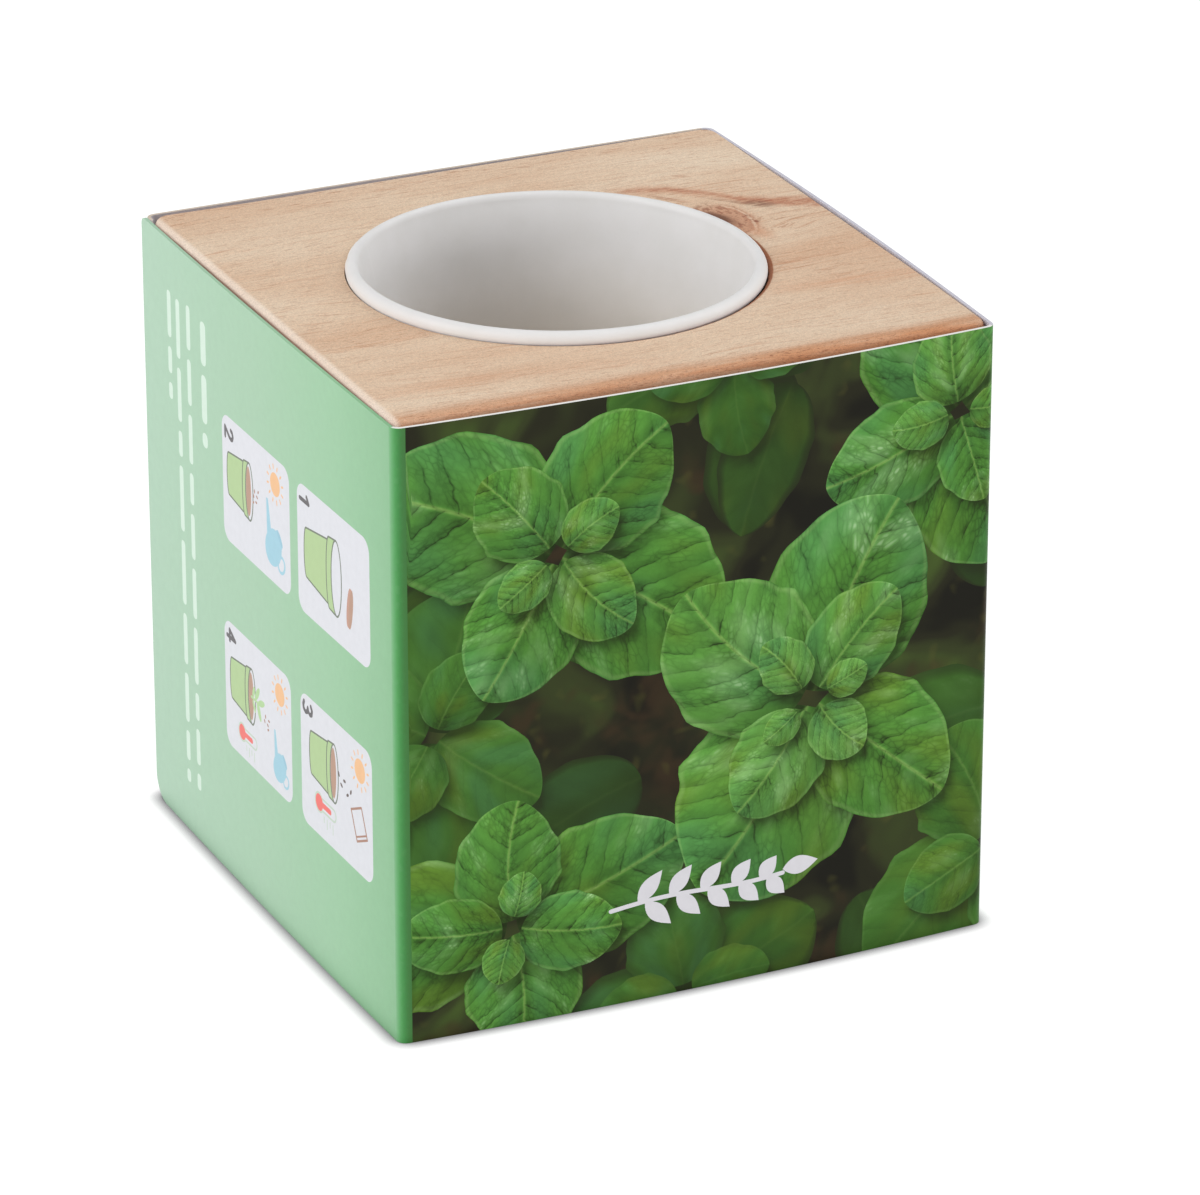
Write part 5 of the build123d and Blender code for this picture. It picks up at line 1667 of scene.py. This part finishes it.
def make_sachet():
    nx_, ny_ = 72, 90
    hw, hl, b = SACHET_W / 2, SACHET_L / 2, SACHET_BORDER

    def swell(x, y):
        kx = max(0.0, min(1.0, (hw - b - abs(x)) / 3.4))
        ky = max(0.0, min(1.0, (hl - b - abs(y)) / 3.6))
        k = (kx * kx * (3 - 2 * kx)) * (ky * ky * (3 - 2 * ky))
        return k

    def height(x, y, top):
        k = swell(x, y)
        z = 0.15 + (SACHET_BULGE - 0.17) * k
        # crimped seal round the border, soft creases over the filling
        ed = min(hw - abs(x), hl - abs(y))
        if ed < b:
            along = y if hw - abs(x) < hl - abs(y) else x
            z += 0.05 * math.sin(along * 2 * math.pi / 1.1) * min(1.0, (b - ed) / 0.6) * min(1.0, ed / 0.4)
        z -= 0.20 * k * abs(n3((x * 0.22, y * 0.18, 2.0), 4.0 if top else 8.0))
        z -= 0.10 * k * max(0.0, n3((x * 0.6, y * 0.5, 5.0), 2.0))
        return max(0.10, z)

    xs = [-hw + SACHET_W * i / nx_ for i in range(nx_ + 1)]
    ys = [-hl + SACHET_L * j / ny_ for j in range(ny_ + 1)]
    verts, faces = [], []

    def sheet(top):
        o = len(verts)
        for y in ys:
            for x in xs:
                z = height(x, y, top)
                verts.append(on_sachet(x, y, z if top else -z))
        for j in range(ny_):
            for i in range(nx_):
                q = (o + j * (nx_ + 1) + i, o + j * (nx_ + 1) + i + 1, o + (j + 1) * (nx_ + 1) + i + 1, o + (j + 1) * (nx_ + 1) + i)
                faces.append(q if top else tuple(reversed(q)))
        return o

    a, d = sheet(True), sheet(False)
    w = nx_ + 1
    border = [i for i in range(nx_)] + [nx_ + j * w for j in range(ny_)] + [ny_ * w + i for i in range(nx_, 0, -1)] + [j * w for j in range(ny_, 0, -1)]
    for k, i in enumerate(border):
        j = border[(k + 1) % len(border)]
        faces.append((a + j, a + i, d + i, d + j))
    ob = new_object("paper_sachet", verts, faces, [M_KRAFT])
    sharp_by_angle(ob, 55)
    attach(ob, "sachet")
    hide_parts("seed_sachet")
    return ob


def make_seeds():
    spots = [
        (-3.6, -6.4), (-1.4, -7.0), (0.9, -6.1), (3.1, -6.8), (-4.1, -3.9), (-2.0, -4.4), (0.4, -3.8), (2.5, -4.2),
        (4.2, -3.0), (-3.2, -1.5), (-0.9, -1.8), (1.4, -1.4), (3.4, -0.6), (-4.0, 1.0), (-1.7, 0.7), (0.8, 1.2),
        (2.9, 2.0), (-2.8, 3.4), (-0.3, 3.7), (2.2, 4.6), (-3.7, 5.9), (0.6, 6.4),
    ]
    rng = random.Random(29)
    verts, faces = [], []
    nu, nv, r = 16, 10, SEED_D / 2
    for x, y in spots:
        turn, k = rng.uniform(0, 2 * math.pi), rng.uniform(0.88, 1.0)
        z0 = -(SACHET_BULGE - 0.15) + 0.80 * r * k + 0.06
        o = len(verts)
        pts = [(1.0, 0.0)]
        for j in range(1, nv):
            t = math.pi * j / nv
            pts.append((math.cos(t), math.sin(t) * (0.78 + 0.10 * math.cos(t))))
        pts.append((-1.0, 0.0))
        c, s = math.cos(turn), math.sin(turn)
        rows = []
        for px, pr in pts:
            row = []
            for m in range(1 if pr == 0.0 else nu):
                w = 2 * math.pi * m / nu
                lx, ly, lz = px * r * k, pr * r * k * math.cos(w), pr * 0.92 * r * k * math.sin(w)
                row.append(len(verts))
                verts.append(on_sachet(x + lx * c - ly * s, y + lx * s + ly * c, z0 + lz))
            rows.append(row)
        for a, b in zip(rows[:-1], rows[1:]):
            for m in range(nu):
                m2 = (m + 1) % nu
                if len(a) == 1:
                    faces.append((a[0], b[m], b[m2]))
                elif len(b) == 1:
                    faces.append((a[m], b[0], a[m2]))
                else:
                    faces.append((a[m], b[m], b[m2], a[m2]))
    ob = new_object("loose_seeds", verts, faces, [M_SEED])
    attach(ob, "sachet")
    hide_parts("seeds")
    return ob


pieces = [make_block(), make_cup_wall(), make_cup_base(), make_sleeve(), make_pellet(), make_sachet(), make_seeds()]


# ============================================================ floor and light
floor = new_object("floor", [(-3, -3, -0.00002), (3, -3, -0.00002), (3, 3, -0.00002), (-3, 3, -0.00002)], [(0, 1, 2, 3)], [floor_paper()], smooth=False)

scene = bpy.context.scene
world = bpy.data.worlds.new("studio")
world.use_nodes = True
bg = world.node_tree.nodes["Background"]
bg.inputs[0].default_value = (1.0, 1.0, 1.0, 1.0)
bg.inputs[1].default_value = 0.45
scene.world = world


def area(name, loc, aim, size, power, colour=(1, 1, 1)):
    li = bpy.data.lights.new(name, "AREA")
    li.shape, li.size, li.size_y = "RECTANGLE", size[0], size[1]
    li.energy, li.color = power, colour
    ob = bpy.data.objects.new(name, li)
    scene.collection.objects.link(ob)
    ob.location = loc
    ob.rotation_mode = "QUATERNION"
    ob.rotation_quaternion = (Vector(aim) - Vector(loc)).to_track_quat("-Z", "Y")
    return ob


area("key_left", (-0.78, -0.02, 0.62), (0, 0, 0.06), (0.6, 0.6), 5.0)
area("low_left", (-0.70, 0.62, 0.24), (-0.04, 0.02, 0.05), (0.9, 0.30), 0.5)
area("front_fill", (0.25, -1.0, 0.13), (0, 0, 0.04), (0.9, 0.22), 2.95)
area("top", (0.82, 0.0, 0.65), (0, 0, 0.06), (0.7, 0.7), 4.0)

# ===================================================================== camera
cam_data = bpy.data.cameras.new("photo_view")
cam = bpy.data.objects.new("photo_view", cam_data)
scene.collection.objects.link(cam)
YAW, PITCH, FOCAL = math.radians(25.03007), math.radians(23.34203), 6941.118
look = Vector((math.sin(YAW) * math.cos(PITCH), math.cos(YAW) * math.cos(PITCH), -math.sin(PITCH)))
cam.location = Vector((-334.951, -728.568, 382.396)) * MM
cam.rotation_mode = "QUATERNION"
cam.rotation_quaternion = look.to_track_quat("-Z", "Y")
cam_data.sensor_width = 36.0
cam_data.lens = FOCAL / 1200.0 * 36.0
cam_data.clip_start, cam_data.clip_end = 0.01, 20.0
scene.camera = cam
scene.view_settings.view_transform = "Standard"
scene.view_settings.look = "None"
